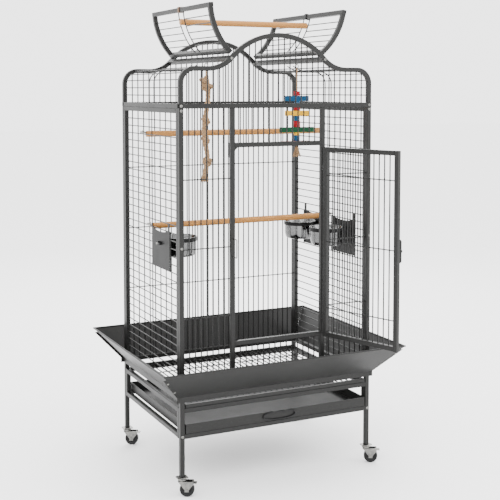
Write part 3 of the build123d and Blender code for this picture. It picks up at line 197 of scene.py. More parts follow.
class Shader(NodeWorks):
    """One material, with the patterns that its finish is made from."""

    def __init__(self, name: str, **constants: object) -> None:
        """Makes a material.

        Args:
            name: the material's name.
            constants: values that are the same all over, by the shader's socket names with
                underscores for spaces.
        """
        self.material = bpy.data.materials.new(name)
        self.material.use_nodes = True
        super().__init__(self.material.node_tree)
        self.surface = next(n for n in self.tree.nodes if n.type == "BSDF_PRINCIPLED")
        for key, value in constants.items():
            self.put(self.surface.inputs[key.replace("_", " ")], value)

    def place(self, stretch: tuple[float, float, float] = (1, 1, 1),
              shift: tuple[float, float, float] = (0, 0, 0)) -> Value:
        """Where a point lies on the object.

        Args:
            stretch: scale of the pattern along X, Y and Z.
            shift: where the pattern's middle goes.

        Returns:
            The place as a vector.
        """
        here = self.node("ShaderNodeTexCoord", output="Object")
        return self.node("ShaderNodeMapping", {}, {"Vector": here, "Scale": stretch, "Location": shift})

    def lay(self, stretch: tuple[float, float, float]) -> Value:
        """Where a point lies along and around a strand, from its UV map."""
        here = self.node("ShaderNodeUVMap", {"uv_map": "lay"})
        return self.node("ShaderNodeMapping", {}, {"Vector": here, "Scale": stretch})

    def noise(self, at: Value, scale: float, detail: float = 2.0, twist: float = 0.0) -> Value:
        """Cloudy pattern from 0 to 1."""
        return self.node("ShaderNodeTexNoise", {}, {"Vector": at, "Scale": scale, "Detail": detail,
                                                    "Distortion": twist}, "Fac")

    def cells(self, at: Value, scale: float, feature: str = "SMOOTH_F1") -> Value:
        """Distance to the nearest of many scattered points."""
        return self.node("ShaderNodeTexVoronoi", {"feature": feature}, {"Vector": at, "Scale": scale},
                         "Distance")

    def blend(self, mask: Value, low: object, high: object) -> Value:
        """Colour that goes from low to high as the mask goes from 0 to 1."""
        return self.node("ShaderNodeMix", {"data_type": "RGBA"}, {0: mask, 6: low, 7: high}, 2)

    def raise_by(self, height: Value, depth: float, strength: float = 1.0) -> Value:
        """Normal of a surface that a pattern raises by up to a depth, in metres."""
        return self.node("ShaderNodeBump", {}, {"Height": height, "Distance": depth,
                                                "Strength": strength})

    def dress(self, **varying: Value) -> bpy.types.Material:
        """Feeds the shader's sockets that vary, by name with underscores for spaces."""
        for key, value in varying.items():
            self.put(self.surface.inputs[key.replace("_", " ")], value)
        return self.material


class ShapeTree(NodeWorks):
    """A Geometry Nodes tree with named inputs that ends in plain, painted geometry."""

    def __init__(self, name: str) -> None:
        """Starts a tree with a geometry in and a geometry out."""
        super().__init__(bpy.data.node_groups.new(name, "GeometryNodeTree"))
        for way in ("INPUT", "OUTPUT"):
            self.tree.interface.new_socket("Geometry", in_out=way, socket_type="NodeSocketGeometry")
        self.entry = self.tree.nodes.new("NodeGroupInput")
        self.exit = self.tree.nodes.new("NodeGroupOutput")
        self.start = Value(self, self.entry.outputs[0])

    def size(self, name: str, kind: str = "Float") -> Value:
        """Adds a named input.

        Args:
            name: what the input is called.
            kind: Float, Int or Vector.

        Returns:
            The input as a Value.
        """
        self.tree.interface.new_socket(name, in_out="INPUT", socket_type="NodeSocket" + kind)
        return Value(self, self.entry.outputs[name])

    def close(self, shape: Value, material: bpy.types.Material) -> None:
        """Ends the tree: instances become real and take their material."""
        real = self.node("GeometryNodeRealizeInstances", {}, {0: shape})
        painted = self.node("GeometryNodeSetMaterial", {}, {"Geometry": real, "Material": material})
        self.put(self.exit.inputs[0], painted)

    def make(self, name: str, seed_mesh: bpy.types.Mesh, sizes: dict[str, object]) -> bpy.types.Object:
        """Runs the tree on a mesh and keeps the result as a plain mesh.

        Args:
            name: name of the new piece.
            seed_mesh: what goes into the tree.
            sizes: value of each named input.

        Returns:
            The piece.
        """
        carrier = bpy.data.objects.new(name + "_seed", seed_mesh)
        bpy.context.scene.collection.objects.link(carrier)
        modifier = carrier.modifiers.new("shape", "NODES")
        modifier.node_group = self.tree
        for item in self.tree.interface.items_tree:
            if item.name in sizes:
                modifier[item.identifier] = sizes[item.name]
        bpy.context.view_layer.update()
        ready = carrier.evaluated_get(bpy.context.evaluated_depsgraph_get())
        mesh = bpy.data.meshes.new_from_object(ready)
        bpy.data.objects.remove(carrier)
        mesh.name = name
        return link_piece(name, mesh, crease=math.radians(40))


# ---------------------------------------------------------------- finishes
@dataclass(frozen=True)
class HammeredCoat:
    """Powder coat that dried into small dimples with paler flecks between them, partly its own silvery flecks and
    partly painted highlights.
    """

    name: str
    colour: Colour
    # colour of the paler flecks: partly the coat's own silvery flecks, partly painted highlights
    fleck: Colour
    dimple: float = 0.0034
    relief: float = 0.00016
    gloss: float = 0.40
    sheen: float = 0.17

    def material(self) -> bpy.types.Material:
        """Makes the paint."""
        paint = Shader(self.name, Specular_IOR_Level=self.sheen, Coat_Weight=0.03, Coat_Roughness=0.35)
        here = paint.place()
        dimples = paint.cells(here, 1 / self.dimple)
        clouds = paint.noise(here, 14, 3)
        specks = paint.noise(here, 700, 2)
        # paler on fine specks and on the ridges between dimples: partly the coat's own silvery flecks, partly
        # painted highlights standing in for the glints that the low specular no longer gives
        pale = specks.past(0.52, 0.2) * 0.55 + dimples.past(0.35, 0.5) * 0.3 + clouds * 0.15
        return paint.dress(Base_Color=paint.blend(pale, self.colour, self.fleck),
                           Roughness=clouds * 0.14 + specks * 0.08 + (self.gloss - 0.1),
                           Normal=paint.raise_by(dimples + specks * 0.25, self.relief, 0.8))


@dataclass(frozen=True)
class BrightZinc:
    """Clear zinc plating: a soft metal shine with a faint spangle."""

    name: str
    colour: Colour = (0.135, 0.135, 0.132)

    def material(self) -> bpy.types.Material:
        """Makes the plating."""
        metal = Shader(self.name, Metallic=1.0)
        here = metal.place()
        spangle = metal.cells(here, 420, "F1")
        haze = metal.noise(here, 90, 3)
        tone = metal.blend(haze.past(0.35, 0.4), self.colour, (0.25, 0.245, 0.225))
        return metal.dress(Base_Color=tone, Roughness=haze * 0.22 + spangle * 0.08 + 0.16,
                           Normal=metal.raise_by(spangle, 0.00005, 0.5))


@dataclass(frozen=True)
class SpunSteel:
    """Polished stainless steel with the fine rings that spinning leaves."""

    name: str

    def material(self) -> bpy.types.Material:
        """Makes the steel."""
        steel = Shader(self.name, Metallic=1.0)
        rings = steel.noise(steel.place((3, 3, 900)), 1, 2)
        smears = steel.noise(steel.place(), 26, 4, 0.6)
        tone = steel.blend(smears, (0.075, 0.076, 0.078), (0.17, 0.17, 0.168))
        return steel.dress(Base_Color=tone, Roughness=smears * 0.10 + rings * 0.05 + 0.04,
                           Normal=steel.raise_by(rings, 0.00002, 0.4))


@dataclass(frozen=True)
class TurnedPine:
    """Sanded pine dowel, its grain along X."""

    name: str
    pale: Colour = (0.37, 0.175, 0.048)
    dark: Colour = (0.205, 0.084, 0.021)

    def material(self) -> bpy.types.Material:
        """Makes the wood."""
        wood = Shader(self.name, Specular_IOR_Level=0.16, Coat_Weight=0.03, Coat_Roughness=0.35)
        rings = wood.node("ShaderNodeTexWave",
                          {"wave_type": "RINGS", "rings_direction": "X", "wave_profile": "SAW"},
                          {"Vector": wood.place((0.35, 1, 1), (0, -0.16, -0.84)), "Scale": 46,
                           "Distortion": 5.0, "Detail": 3.0, "Detail Scale": 1.2}, "Fac")
        fibres = wood.noise(wood.place((9, 420, 420)), 1, 4)
        pores = wood.noise(wood.place((60, 1500, 1500)), 1, 1).past(0.60, 0.12)
        blotch = wood.noise(wood.place((4, 14, 14)), 1, 3)
        grain = rings * 0.40 + fibres * 0.38 + blotch * 0.30 + pores * 0.12 - 0.12
        return wood.dress(Base_Color=wood.blend(grain, self.pale, self.dark),
                          Roughness=fibres * 0.2 + pores * 0.1 + 0.38,
                          Normal=wood.raise_by(fibres + pores * -0.6, 0.00012, 0.5))


@dataclass(frozen=True)
class SisalFibre:
    """Twisted sisal: dry, hairy and streaked along each strand."""

    name: str
    pale: Colour = (0.36, 0.235, 0.13)
    dark: Colour = (0.105, 0.052, 0.022)

    def material(self) -> bpy.types.Material:
        """Makes the fibre."""
        fibre = Shader(self.name, Specular_IOR_Level=0.15, Sheen_Weight=0.1, Sheen_Roughness=0.5)
        hairs = fibre.noise(fibre.lay((240, 14, 1)), 1, 3, 0.3)
        patches = fibre.noise(fibre.place(), 60, 3)
        tone = (1 - hairs) * 0.75 + patches * 0.5 - 0.15
        return fibre.dress(Base_Color=fibre.blend(tone, self.pale, self.dark),
                           Roughness=hairs * 0.2 + 0.7,
                           Normal=fibre.raise_by(hairs, 0.0006, 0.9))


@dataclass(frozen=True)
class DyedWood:
    """Small wooden block dyed one bright colour, its grain still showing."""

    name: str
    colour: Colour
    deep: Colour

    def material(self) -> bpy.types.Material:
        """Makes the dyed wood."""
        wood = Shader(self.name, Specular_IOR_Level=0.14, Coat_Weight=0.02, Coat_Roughness=0.3)
        streaks = wood.noise(wood.place((14, 240, 240)), 1, 3)
        worn = wood.noise(wood.place(), 45, 2)
        tone = streaks * 0.7 + worn * 0.4 - 0.15
        return wood.dress(Base_Color=wood.blend(tone, self.colour, self.deep),
                          Roughness=streaks * 0.15 + 0.36,
                          Normal=wood.raise_by(streaks, 0.0001, 0.5))


@dataclass(frozen=True)
class Moulded:
    """Moulded plastic or rubber with a fine grain."""

    name: str
    colour: Colour
    worn: Colour
    dullness: float = 0.42
    grain: float = 900.0

    def material(self) -> bpy.types.Material:
        """Makes the plastic."""
        plastic = Shader(self.name, Specular_IOR_Level=0.2)
        here = plastic.place()
        grain = plastic.noise(here, self.grain, 2)
        scuffs = plastic.noise(here, 120, 4, 0.8).past(0.55, 0.3)
        return plastic.dress(Base_Color=plastic.blend(scuffs * 0.6, self.colour, self.worn),
                             Roughness=grain * 0.1 + scuffs * 0.15 + self.dullness - 0.05,
                             Normal=plastic.raise_by(grain, 0.00006, 0.6))


class Finishes:
    """Every finish of the cage, made once."""

    def __init__(self) -> None:
        """Makes the materials, by their slot."""
        dyed = {Slot.RED: ((0.25, 0.0, 0.006), (0.13, 0.0, 0.002)),
                Slot.BLUE: ((0.0, 0.050, 0.115), (0.0, 0.021, 0.058)),
                Slot.YELLOW: ((0.60, 0.34, 0.0), (0.42, 0.20, 0.0)),
                Slot.GREEN: ((0.0, 0.046, 0.016), (0.0, 0.021, 0.007))}
        self.of = {
            # each coat's second colour is its paler flecks: partly the coat's own silvery flecks, partly painted
            # highlights
            Slot.CHARCOAL: HammeredCoat("hammered_charcoal", (0.0056, 0.0056, 0.0054),
                                        (0.0235, 0.0235, 0.0226)).material(),
            Slot.BLACK_METAL: HammeredCoat("hammered_black", (0.003, 0.003, 0.0031),
                                           (0.011, 0.011, 0.0107), gloss=0.46,
                                           sheen=0.12).material(),
            Slot.ZINC: BrightZinc("bright_zinc").material(),
            Slot.STAINLESS: SpunSteel("spun_steel").material(),
            Slot.PINE: TurnedPine("turned_pine").material(),
            Slot.SISAL: SisalFibre("sisal_fibre").material(),
            Slot.BLACK_PLASTIC: Moulded("moulded_black", (0.005, 0.005, 0.0054),
                                        (0.018, 0.018, 0.018)).material(),
            Slot.TYRE: Moulded("wheel_tread", (0.004, 0.004, 0.0043), (0.020, 0.019, 0.018), 0.5,
                               500.0).material(),
        }
        for slot, (colour, deep) in dyed.items():
            self.of[slot] = DyedWood(slot.value + "_dye", colour, deep).material()
        self.bronze = Moulded("bronze_strap", (0.09, 0.045, 0.02), (0.17, 0.10, 0.055), 0.38).material()
        self.floor = Moulded("pale_floor", (0.97, 0.97, 0.97), (0.96, 0.96, 0.96), 0.9, 40.0).material()

    def dress_frame(self) -> None:
        """Gives every CAD node the material of its slot."""
        slots = {part["node"]: part["material_slot"] for part in HERE["record"]["subparts"]}
        for node, shape in HERE["nodes"].items():
            shape.data.materials.clear()
            shape.data.materials.append(self.of[Slot(slots[node])])


# ---------------------------------------------------------------- meshes
def link_piece(name: str, mesh: bpy.types.Mesh, crease: float = math.radians(35)) -> bpy.types.Object:
    """Puts a mesh in the scene as an object at the origin, smooth but for its sharp edges.

    Args:
        name: the piece's name.
        mesh: its mesh, in metres, in the cage's frame.
        crease: edges that turn by more than this stay sharp.

    Returns:
        The object.
    """
    mesh.shade_smooth()
    mesh.set_sharp_from_angle(angle=crease)
    made = bpy.data.objects.new(name, mesh)
    bpy.context.scene.collection.objects.link(made)
    return made


class Blank:
    """Points and faces that are gathered before they become one piece."""

    def __init__(self) -> None:
        """Starts empty."""
        self.points: list[np.ndarray] = []
        self.faces: list[tuple[int, ...]] = []
        self.lay: list[list[tuple[float, float]]] = []
        self.count = 0

    def add(self, points: np.ndarray, faces: list[tuple[int, ...]],
            lay: list[list[tuple[float, float]]] | None = None) -> None:
        """Adds a shape.

        Args:
            points: its points.
            faces: its faces, counted from its own first point.
            lay: each face's corners on the UV map.
        """
        self.faces += [tuple(index + self.count for index in face) for face in faces]
        self.lay += lay or [[(0.0, 0.0)] * len(face) for face in faces]
        self.points.append(np.asarray(points, float))
        self.count += len(points)

    def piece(self, name: str, material: bpy.types.Material, crease: float = 35.0) -> bpy.types.Object:
        """Makes the piece.

        Args:
            name: its name.
            material: its finish.
            crease: angle of the edges that stay sharp, in degrees.

        Returns:
            The object.
        """
        mesh = bpy.data.meshes.new(name)
        mesh.from_pydata(np.vstack(self.points).tolist(), [], self.faces)
        layer = mesh.uv_layers.new(name="lay")
        layer.data.foreach_set("uv", [n for face in self.lay for corner in face for n in corner])
        mesh.materials.append(material)
        mesh.update()
        return link_piece(name, mesh, math.radians(crease))


def frame_along(path: np.ndarray, closed: bool) -> tuple[np.ndarray, np.ndarray, np.ndarray]:
    """Directions along a path that turn with it and don't twist.

    Args:
        path: evenly spaced points.
        closed: whether the last point leads back to the first.

    Returns:
        The way along, and two ways across, at each point.
    """
    if closed:
        along = np.roll(path, -1, 0) - np.roll(path, 1, 0)
    else:
        along = np.gradient(path, axis=0)
    along /= np.linalg.norm(along, axis=1)[:, None]
    across = np.zeros_like(path)
    side = np.cross(along[0], (0.31, 0.95, 0.05))
    for step, ahead in enumerate(along):
        side = side - ahead * side.dot(ahead)
        side /= np.linalg.norm(side)
        across[step] = side
    return along, across, np.cross(along, across)


def tube(blank: Blank, path: np.ndarray, radii: np.ndarray, sides: int, closed: bool = False) -> None:
    """Adds a round tube along a path.

    Args:
        blank: what it is added to.
        path: its centre line.
        radii: its radius at each point.
        sides: how many sides it has.
        closed: whether it is a ring.
    """
    _, right, up = frame_along(path, closed)
    turn = np.linspace(0, 2 * math.pi, sides, endpoint=False)
    rings = (path[:, None] + radii[:, None, None] * (right[:, None] * np.cos(turn)[None, :, None]
                                                     + up[:, None] * np.sin(turn)[None, :, None]))
    count = len(path)
    run = np.concatenate(([0.0], np.cumsum(np.linalg.norm(np.diff(path, axis=0), axis=1))))
    run = np.append(run, run[-1] + np.linalg.norm(path[0] - path[-1]))
    faces, lay = [], []
    for ring in range(count if closed else count - 1):
        after = (ring + 1) % count
        for side in range(sides):
            beside = (side + 1) % sides
            faces.append((ring * sides + side, ring * sides + beside, after * sides + beside,
                          after * sides + side))
            lay.append([(run[ring], side / sides), (run[ring], (side + 1) / sides),
                        (run[ring + 1], (side + 1) / sides), (run[ring + 1], side / sides)])
    if not closed:
        faces += [tuple(range(sides))[::-1], tuple(range((count - 1) * sides, count * sides))]
        lay += [[(0.0, 0.0)] * sides, [(0.0, 0.0)] * sides]
    blank.add(rings.reshape(-1, 3), faces, lay)


def even_steps(path: np.ndarray, step: float, closed: bool = False) -> np.ndarray:
    """The same path with its points an even step apart."""
    whole = np.vstack((path, path[:1])) if closed else path
    run = np.concatenate(([0.0], np.cumsum(np.linalg.norm(np.diff(whole, axis=0), axis=1))))
    count = max(4, round(run[-1] / step))
    at = np.linspace(0, run[-1], count, endpoint=not closed)
    return np.stack([np.interp(at, run, whole[:, axis]) for axis in range(3)], 1)


def laid_rope(blank: Blank, path: np.ndarray, diameter: float, pitch: float, closed: bool = False,
              sides: int = 9) -> None:
    """Adds three strands that are twisted round a path.

    Args:
        blank: what they are added to.
        path: the rope's centre line.
        diameter: the rope's outer diameter.
        pitch: length of one turn of the twist.
        closed: whether the rope is a ring.
        sides: how many sides each strand has.
    """
    centre = even_steps(path, pitch / 14, closed)
    _, right, up = frame_along(centre, closed)
    length = np.linalg.norm(np.diff(centre, axis=0), axis=1).sum()
    turns = max(1, round(length / pitch))
    travel = np.linspace(0, 2 * math.pi * turns, len(centre), endpoint=not closed)
    strand = diameter * 0.25
    for which in range(3):
        turn = travel + which * 2 * math.pi / 3
        offset = right * np.cos(turn)[:, None] + up * np.sin(turn)[:, None]
        tube(blank, centre + offset * (diameter / 2 - strand), np.full(len(centre), strand), sides,
             closed)


def lathe(profile: list[tuple[float, float]], centre: Vector, axis: Vector,
          segments: int = 64) -> tuple[np.ndarray, list[tuple[int, ...]]]:
    """Turns a profile round an axis.

    Args:
        profile: radius and place along the axis, in order, from one pole or edge to the other.
        centre: the axis's zero point.
        axis: its direction.
        segments: how many faces go round.

    Returns:
        The points and faces of a closed shape, or of a ring where the profile is a loop.
    """
    ahead = axis.normalized()
    side = ahead.orthogonal().normalized()
    up = ahead.cross(side)
    points = []
    for radius, along in profile:
        for step in range(segments):
            turn = 2 * math.pi * step / segments
            points.append(centre + ahead * along + side * radius * math.cos(turn)
                          + up * radius * math.sin(turn))
    faces = []
    rows = len(profile)
    looped = all(radius > 0 for radius, _ in profile)
    for row in range(rows if looped else rows - 1):
        after = (row + 1) % rows
        for step in range(segments):
            beside = (step + 1) % segments
            faces.append((row * segments + step, after * segments + step,
                          after * segments + beside, row * segments + beside))
    return np.array([tuple(point) for point in points]), faces


def turned_piece(name: str, profiles: list[tuple[list[tuple[float, float]], Vector, Vector]],
                 material: bpy.types.Material, segments: int = 64,
                 crease: float = 35.0) -> bpy.types.Object:
    """Makes one piece of turned shapes, welded at their poles and facing outwards.

    Args:
        name: the piece's name.
        profiles: each shape's profile, centre and axis.
        material: its finish.
        segments: how many faces go round each shape.
        crease: angle of the edges that stay sharp, in degrees.

    Returns:
        The object.
    """
    blank = Blank()
    for profile, centre, axis in profiles:
        blank.add(*lathe(profile, centre, axis, segments))
    made = blank.piece(name, material, crease)
    clean(made.data)
    made.data.shade_smooth()
    made.data.set_sharp_from_angle(angle=math.radians(crease))
    return made


def clean(mesh: bpy.types.Mesh, apart: float = 1e-6) -> None:
    """Merges a mesh's doubled points, drops faces with no area and turns the rest outwards."""
    work = bmesh.new()
    work.from_mesh(mesh)
    bmesh.ops.remove_doubles(work, verts=work.verts, dist=apart)
    bmesh.ops.dissolve_degenerate(work, edges=work.edges, dist=apart)
    bmesh.ops.recalc_face_normals(work, faces=work.faces)
    work.to_mesh(mesh)
    work.free()


@dataclass
class Island:
    """One loose solid of a CAD node."""

    points: np.ndarray
    faces: list[tuple[int, ...]]

    @property
    def low(self) -> np.ndarray:
        """Its lowest corner."""
        return self.points.min(0)

    @property
    def high(self) -> np.ndarray:
        """Its highest corner."""
        return self.points.max(0)

    @property
    def middle(self) -> np.ndarray:
        """The middle of its box."""
        return (self.low + self.high) / 2

    def thin_way(self) -> np.ndarray:
        """The direction in which it is thinnest."""
        spread = np.cov((self.points - self.points.mean(0)).T)
        return np.linalg.eigh(spread)[1][:, 0]


def islands(node: str) -> list[Island]:
    """Splits a copy of a CAD node into its loose solids.

    Args:
        node: the node's name.

    Returns:
        Its solids, in a fixed order.
    """
    work = bmesh.new()
    work.from_mesh(HERE["nodes"][node].data)
    bmesh.ops.remove_doubles(work, verts=work.verts, dist=SEAM)
    work.verts.ensure_lookup_table()
    seen: set[int] = set()
    found = []
    for first in work.verts:
        if first.index in seen:
            continue
        group, front = [], [first]
        seen.add(first.index)
        while front:
            here = front.pop()
            group.append(here)
            for edge in here.link_edges:
                other = edge.other_vert(here)
                if other.index not in seen:
                    seen.add(other.index)
                    front.append(other)
        number = {vert.index: place for place, vert in enumerate(group)}
        faces = {face for vert in group for face in vert.link_faces}
        found.append(Island(np.array([tuple(vert.co) for vert in group]),
                            [tuple(number[v.index] for v in face.verts)
                             for face in sorted(faces, key=lambda face: face.index)]))
    work.free()
    return sorted(found, key=lambda island: tuple(np.round(island.middle, 5)))


def eased_copy(name: str, node: str, width: float, material: bpy.types.Material,
               segments: int = 3) -> bpy.types.Object:
    """A copy of a CAD node with its edges rounded over.

    Args:
        name: the new piece's name.
        node: the CAD node.
        width: how far back each edge is rounded.
        material: the finish.
        segments: how many faces make each rounding.

    Returns:
        The object.
    """
    mesh = HERE["nodes"][node].data.copy()
    mesh.name = name
    clean(mesh, SEAM)
    work = bmesh.new()
    work.from_mesh(mesh)
    flat = math.radians(FLAT_ANGLE)
    bmesh.ops.dissolve_limit(work, angle_limit=flat, verts=work.verts, edges=work.edges)
    sharp = [edge for edge in work.edges
             if edge.is_manifold and edge.calc_face_angle(0.0) > SHARP_ANGLE]
    bmesh.ops.bevel(work, geom=sharp, offset=width, offset_type="OFFSET", segments=segments,
                    profile=0.6, affect="EDGES", clamp_overlap=True)
    bmesh.ops.recalc_face_normals(work, faces=work.faces)
    work.to_mesh(mesh)
    work.free()
    mesh.materials.clear()
    mesh.materials.append(material)
    return link_piece(name, mesh, math.radians(EASED_CREASE))


def install(piece: bpy.types.Object, body: str, slot: Slot, *stands_for: str) -> bpy.types.Object:
    """Puts a finished piece on its body and hides the CAD nodes that it stands for.

    Args:
        piece: the piece.
        body: the CAD body that it moves with.
        slot: not used.
        stands_for: CAD nodes that it replaces.

    Returns:
        The piece.
    """
    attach(piece, body)
    if stands_for:
        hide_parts(*stands_for)
    LOG.info("%s rides on %s", piece.name, body)
    return piece


# ---------------------------------------------------------------- toys
@dataclass
class Tassel:
    """Bundle of loose fibres that hangs from a cord's end."""

    name: str
    top: Vector
    length: float
    neck: float
    spread: float
    fibres: int
    seed: int

    def shape_tree(self, material: bpy.types.Material) -> ShapeTree:
        """Builds the tree: fibres hang from a disc, open out and wave.

        Args:
            material: the fibres' finish.

        Returns:
            The tree.
        """
        works = ShapeTree("tassel_fibres")
        length, neck = works.size("Length"), works.size("Neck radius")
        spread, thick = works.size("Spread"), works.size("Fibre radius")
        count, seed = works.size("Fibres", "Int"), works.size("Seed", "Int")
        top = works.size("Top", "Vector")
        index = works.node("GeometryNodeInputIndex")
        points = works.node("GeometryNodePoints", {}, {"Count": count})
        share = works.node("FunctionNodeRandomValue", {"data_type": "FLOAT"},
                           {"ID": index, "Seed": seed}, 1)
        turn = works.node("FunctionNodeRandomValue", {"data_type": "FLOAT"},
                          {"Min": 0.0, "Max": 2 * math.pi, "ID": index, "Seed": seed + 1}, 1)
        reach = neck * (share ** 0.5)
        cosine = works.node("ShaderNodeMath", {"operation": "COSINE"}, {0: turn})
        sine = works.node("ShaderNodeMath", {"operation": "SINE"}, {0: turn})
        spot = works.node("ShaderNodeCombineXYZ", {}, {"X": reach * cosine, "Y": reach * sine})
        placed = works.node("GeometryNodeSetPosition", {}, {"Geometry": points, "Position": spot})
        hang = works.node("ShaderNodeCombineXYZ", {}, {"Z": length * -1})
        line = works.node("GeometryNodeCurvePrimitiveLine", {}, {"End": hang})
        uneven = works.node("FunctionNodeRandomValue", {"data_type": "FLOAT"},
                            {"Min": 0.62, "Max": 1.0, "ID": index, "Seed": seed + 2}, 1)
        hung = works.node("GeometryNodeInstanceOnPoints", {},
                          {"Points": placed, "Instance": line, "Scale": uneven})
        loose = works.node("GeometryNodeRealizeInstances", {}, {0: hung})
        finer = works.node("GeometryNodeResampleCurve", {}, {"Curve": loose, "Count": 8})
        place = works.node("GeometryNodeInputPosition")
        parts = works.node("ShaderNodeSeparateXYZ", {}, {0: place}, "Z")
        down = (parts * -1) / length
        across = works.node("ShaderNodeVectorMath", {"operation": "MULTIPLY"},
                            {0: place, 1: (1.0, 1.0, 0.0)})
        outward = works.node("ShaderNodeVectorMath", {"operation": "SCALE"},
                             {0: across, "Scale": (down ** 1.4) * (spread / neck - 1)})
        wave = works.node("ShaderNodeTexNoise", {}, {"Vector": place, "Scale": 260.0, "Detail": 1.0},
                          "Color")
        centred = works.node("ShaderNodeVectorMath", {"operation": "SUBTRACT"},
                             {0: wave, 1: (0.5, 0.5, 0.5)})
        waving = works.node("ShaderNodeVectorMath", {"operation": "SCALE"},
                            {0: centred, "Scale": down * neck * 0.9})
        drift = works.node("ShaderNodeVectorMath", {"operation": "ADD"}, {0: outward, 1: waving})
        opened = works.node("GeometryNodeSetPosition", {}, {"Geometry": finer, "Offset": drift})
        ring = works.node("GeometryNodeCurvePrimitiveCircle", {}, {"Resolution": 4, "Radius": thick})
        solid = works.node("GeometryNodeCurveToMesh", {},
                           {"Curve": opened, "Profile Curve": ring, "Fill Caps": True})
        moved = works.node("GeometryNodeTransform", {}, {"Geometry": solid, "Translation": top})
        works.close(moved, material)
        return works

    def build(self, material: bpy.types.Material) -> bpy.types.Object:
        """Makes the tassel."""
        return self.shape_tree(material).make(self.name, bpy.data.meshes.new(self.name + "_none"), {
            "Length": self.length, "Neck radius": self.neck, "Spread": self.spread,
            "Fibre radius": 0.00055, "Fibres": self.fibres, "Seed": self.seed,
            "Top": tuple(self.top)})


def settled_line(name: str, points: list[Vector]) -> np.ndarray:
    """Points along the smooth line that a cord takes between its control points.

    Args:
        name: name of the throwaway curve.
        points: the control points.

    Returns:
        Points along the line.
    """
    curve = bpy.data.curves.new(name, "CURVE")
    curve.dimensions = "3D"
    curve.resolution_u = 24
    spline = curve.splines.new("NURBS")
    spline.points.add(len(points) - 1)
    for point, place in zip(spline.points, points):
        point.co = (*place, 1.0)
    spline.order_u = 3
    spline.use_endpoint_u = True
    carrier = bpy.data.objects.new(name, curve)
    bpy.context.scene.collection.objects.link(carrier)
    bpy.context.view_layer.update()
    ready = carrier.evaluated_get(bpy.context.evaluated_depsgraph_get())
    line = np.array([tuple(vert.co) for vert in bpy.data.meshes.new_from_object(ready).vertices])
    bpy.data.objects.remove(carrier)
    if line[0][2] < line[-1][2]:
        line = line[::-1]
    return line


def knot_path(middle: Vector, radius: float, thick: float, lean: float) -> np.ndarray:
    """Closed path of an overhand knot pulled tight.

    Args:
        middle: the knot's middle.
        radius: how far it reaches.
        thick: diameter of the rope that it is tied in.
        lean: how far it is turned, in radians.

    Returns:
        Points along it.
    """
    turn = np.linspace(0, 2 * math.pi, 96, endpoint=False)
    loops = np.stack([np.sin(turn) + 2 * np.sin(2 * turn), np.cos(turn) - 2 * np.cos(2 * turn),
                      -1.7 * np.sin(3 * turn)], 1) * (radius - thick / 2) / 3
    turned = Matrix.Rotation(lean, 3, "Z") @ Matrix.Rotation(1.05, 3, "X")
    return loops @ np.array(turned).T + np.array(tuple(middle))


@dataclass
class RopeToy:
    """Knotted sisal rope that hangs by a thin string from the left roof rail."""

    diameter: float = 0.019
    string: float = 0.005
    hang_x: float = -0.18097
    top: float = 1.44903
    length: float = 0.360
    route: tuple[tuple[float, float], ...] = (
        (0.0, 1.418), (0.006, 1.382), (0.008, 1.342), (0.002, 1.300), (-0.006, 1.258),
        (-0.009, 1.216), (-0.0035, 1.176), (0.0055, 1.136), (0.001, 1.098), (-0.007, 1.062))
    knots: tuple[tuple[float, float, float, float], ...] = (
        (1.400, 0.0215, -0.006, 0.3), (1.378, 0.0225, 0.006, 2.1), (1.261, 0.0200, -0.002, 1.2),
        (1.192, 0.0195, -0.003, 0.4), (1.115, 0.0220, 0.004, 1.6))
    knot_rope: float = 0.0135
    string_drops: tuple[float, ...] = (0.0, 0.010, 0.021, 0.031)
    lay: float = 0.046
    string_lay: float = 0.012
    knot_lay: float = 0.036
    knot_sides: int = 7

    def build(self, finishes: Finishes) -> None:
        """Makes the rope, its knots, its stray hairs and its tassel."""
        sisal = finishes.of[Slot.SISAL]
        low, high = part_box("rope_toy_knots")
        middle_y = (low.y + high.y) / 2
        points = [Vector((self.hang_x + step, middle_y, height)) for step, height in self.route]
        line = settled_line("rope_line", points)
        rope = Blank()
        laid_rope(rope, line, self.diameter, self.lay)
        strands = rope.piece("rope_toy_strands", sisal, CORD_CREASE)
        hung = settled_line("string_line", [Vector((self.hang_x, middle_y, self.top - drop))
                                            for drop in self.string_drops])
        thin = Blank()
        laid_rope(thin, hung, self.string, self.string_lay, sides=6)
        loop = thin.piece("rope_toy_string", sisal, CORD_CREASE)
        knots = Blank()
        for height, radius, step, lean in self.knots:
            middle = Vector((self.hang_x + step, middle_y, height))
            laid_rope(knots, knot_path(middle, radius, self.knot_rope, lean), self.knot_rope,
                      self.knot_lay, True, self.knot_sides)
        tied = knots.piece("rope_toy_tied_knots", sisal, CORD_CREASE)
        tassel = Tassel("rope_toy_tassel", points[-1] + Vector((0, 0, 0.003)), length=0.025,
                        neck=0.0095, spread=0.017, fibres=210, seed=5).build(sisal)
        hairs = StrayHairs(seed=11).build("rope_toy_hairs", strands, sisal)
        knot_hairs = StrayHairs(seed=12).build("rope_toy_knot_hairs", tied, sisal)
        install(strands, "rope_toy", Slot.SISAL, "rope_toy_rope")
        install(tied, "rope_toy", Slot.SISAL, "rope_toy_knots")
        for piece in (loop, tassel, hairs, knot_hairs):
            install(piece, "rope_toy", Slot.SISAL)
        run = float(np.linalg.norm(np.diff(line, axis=0), axis=1).sum())
        LOG.info("rope runs %.4f m", run)


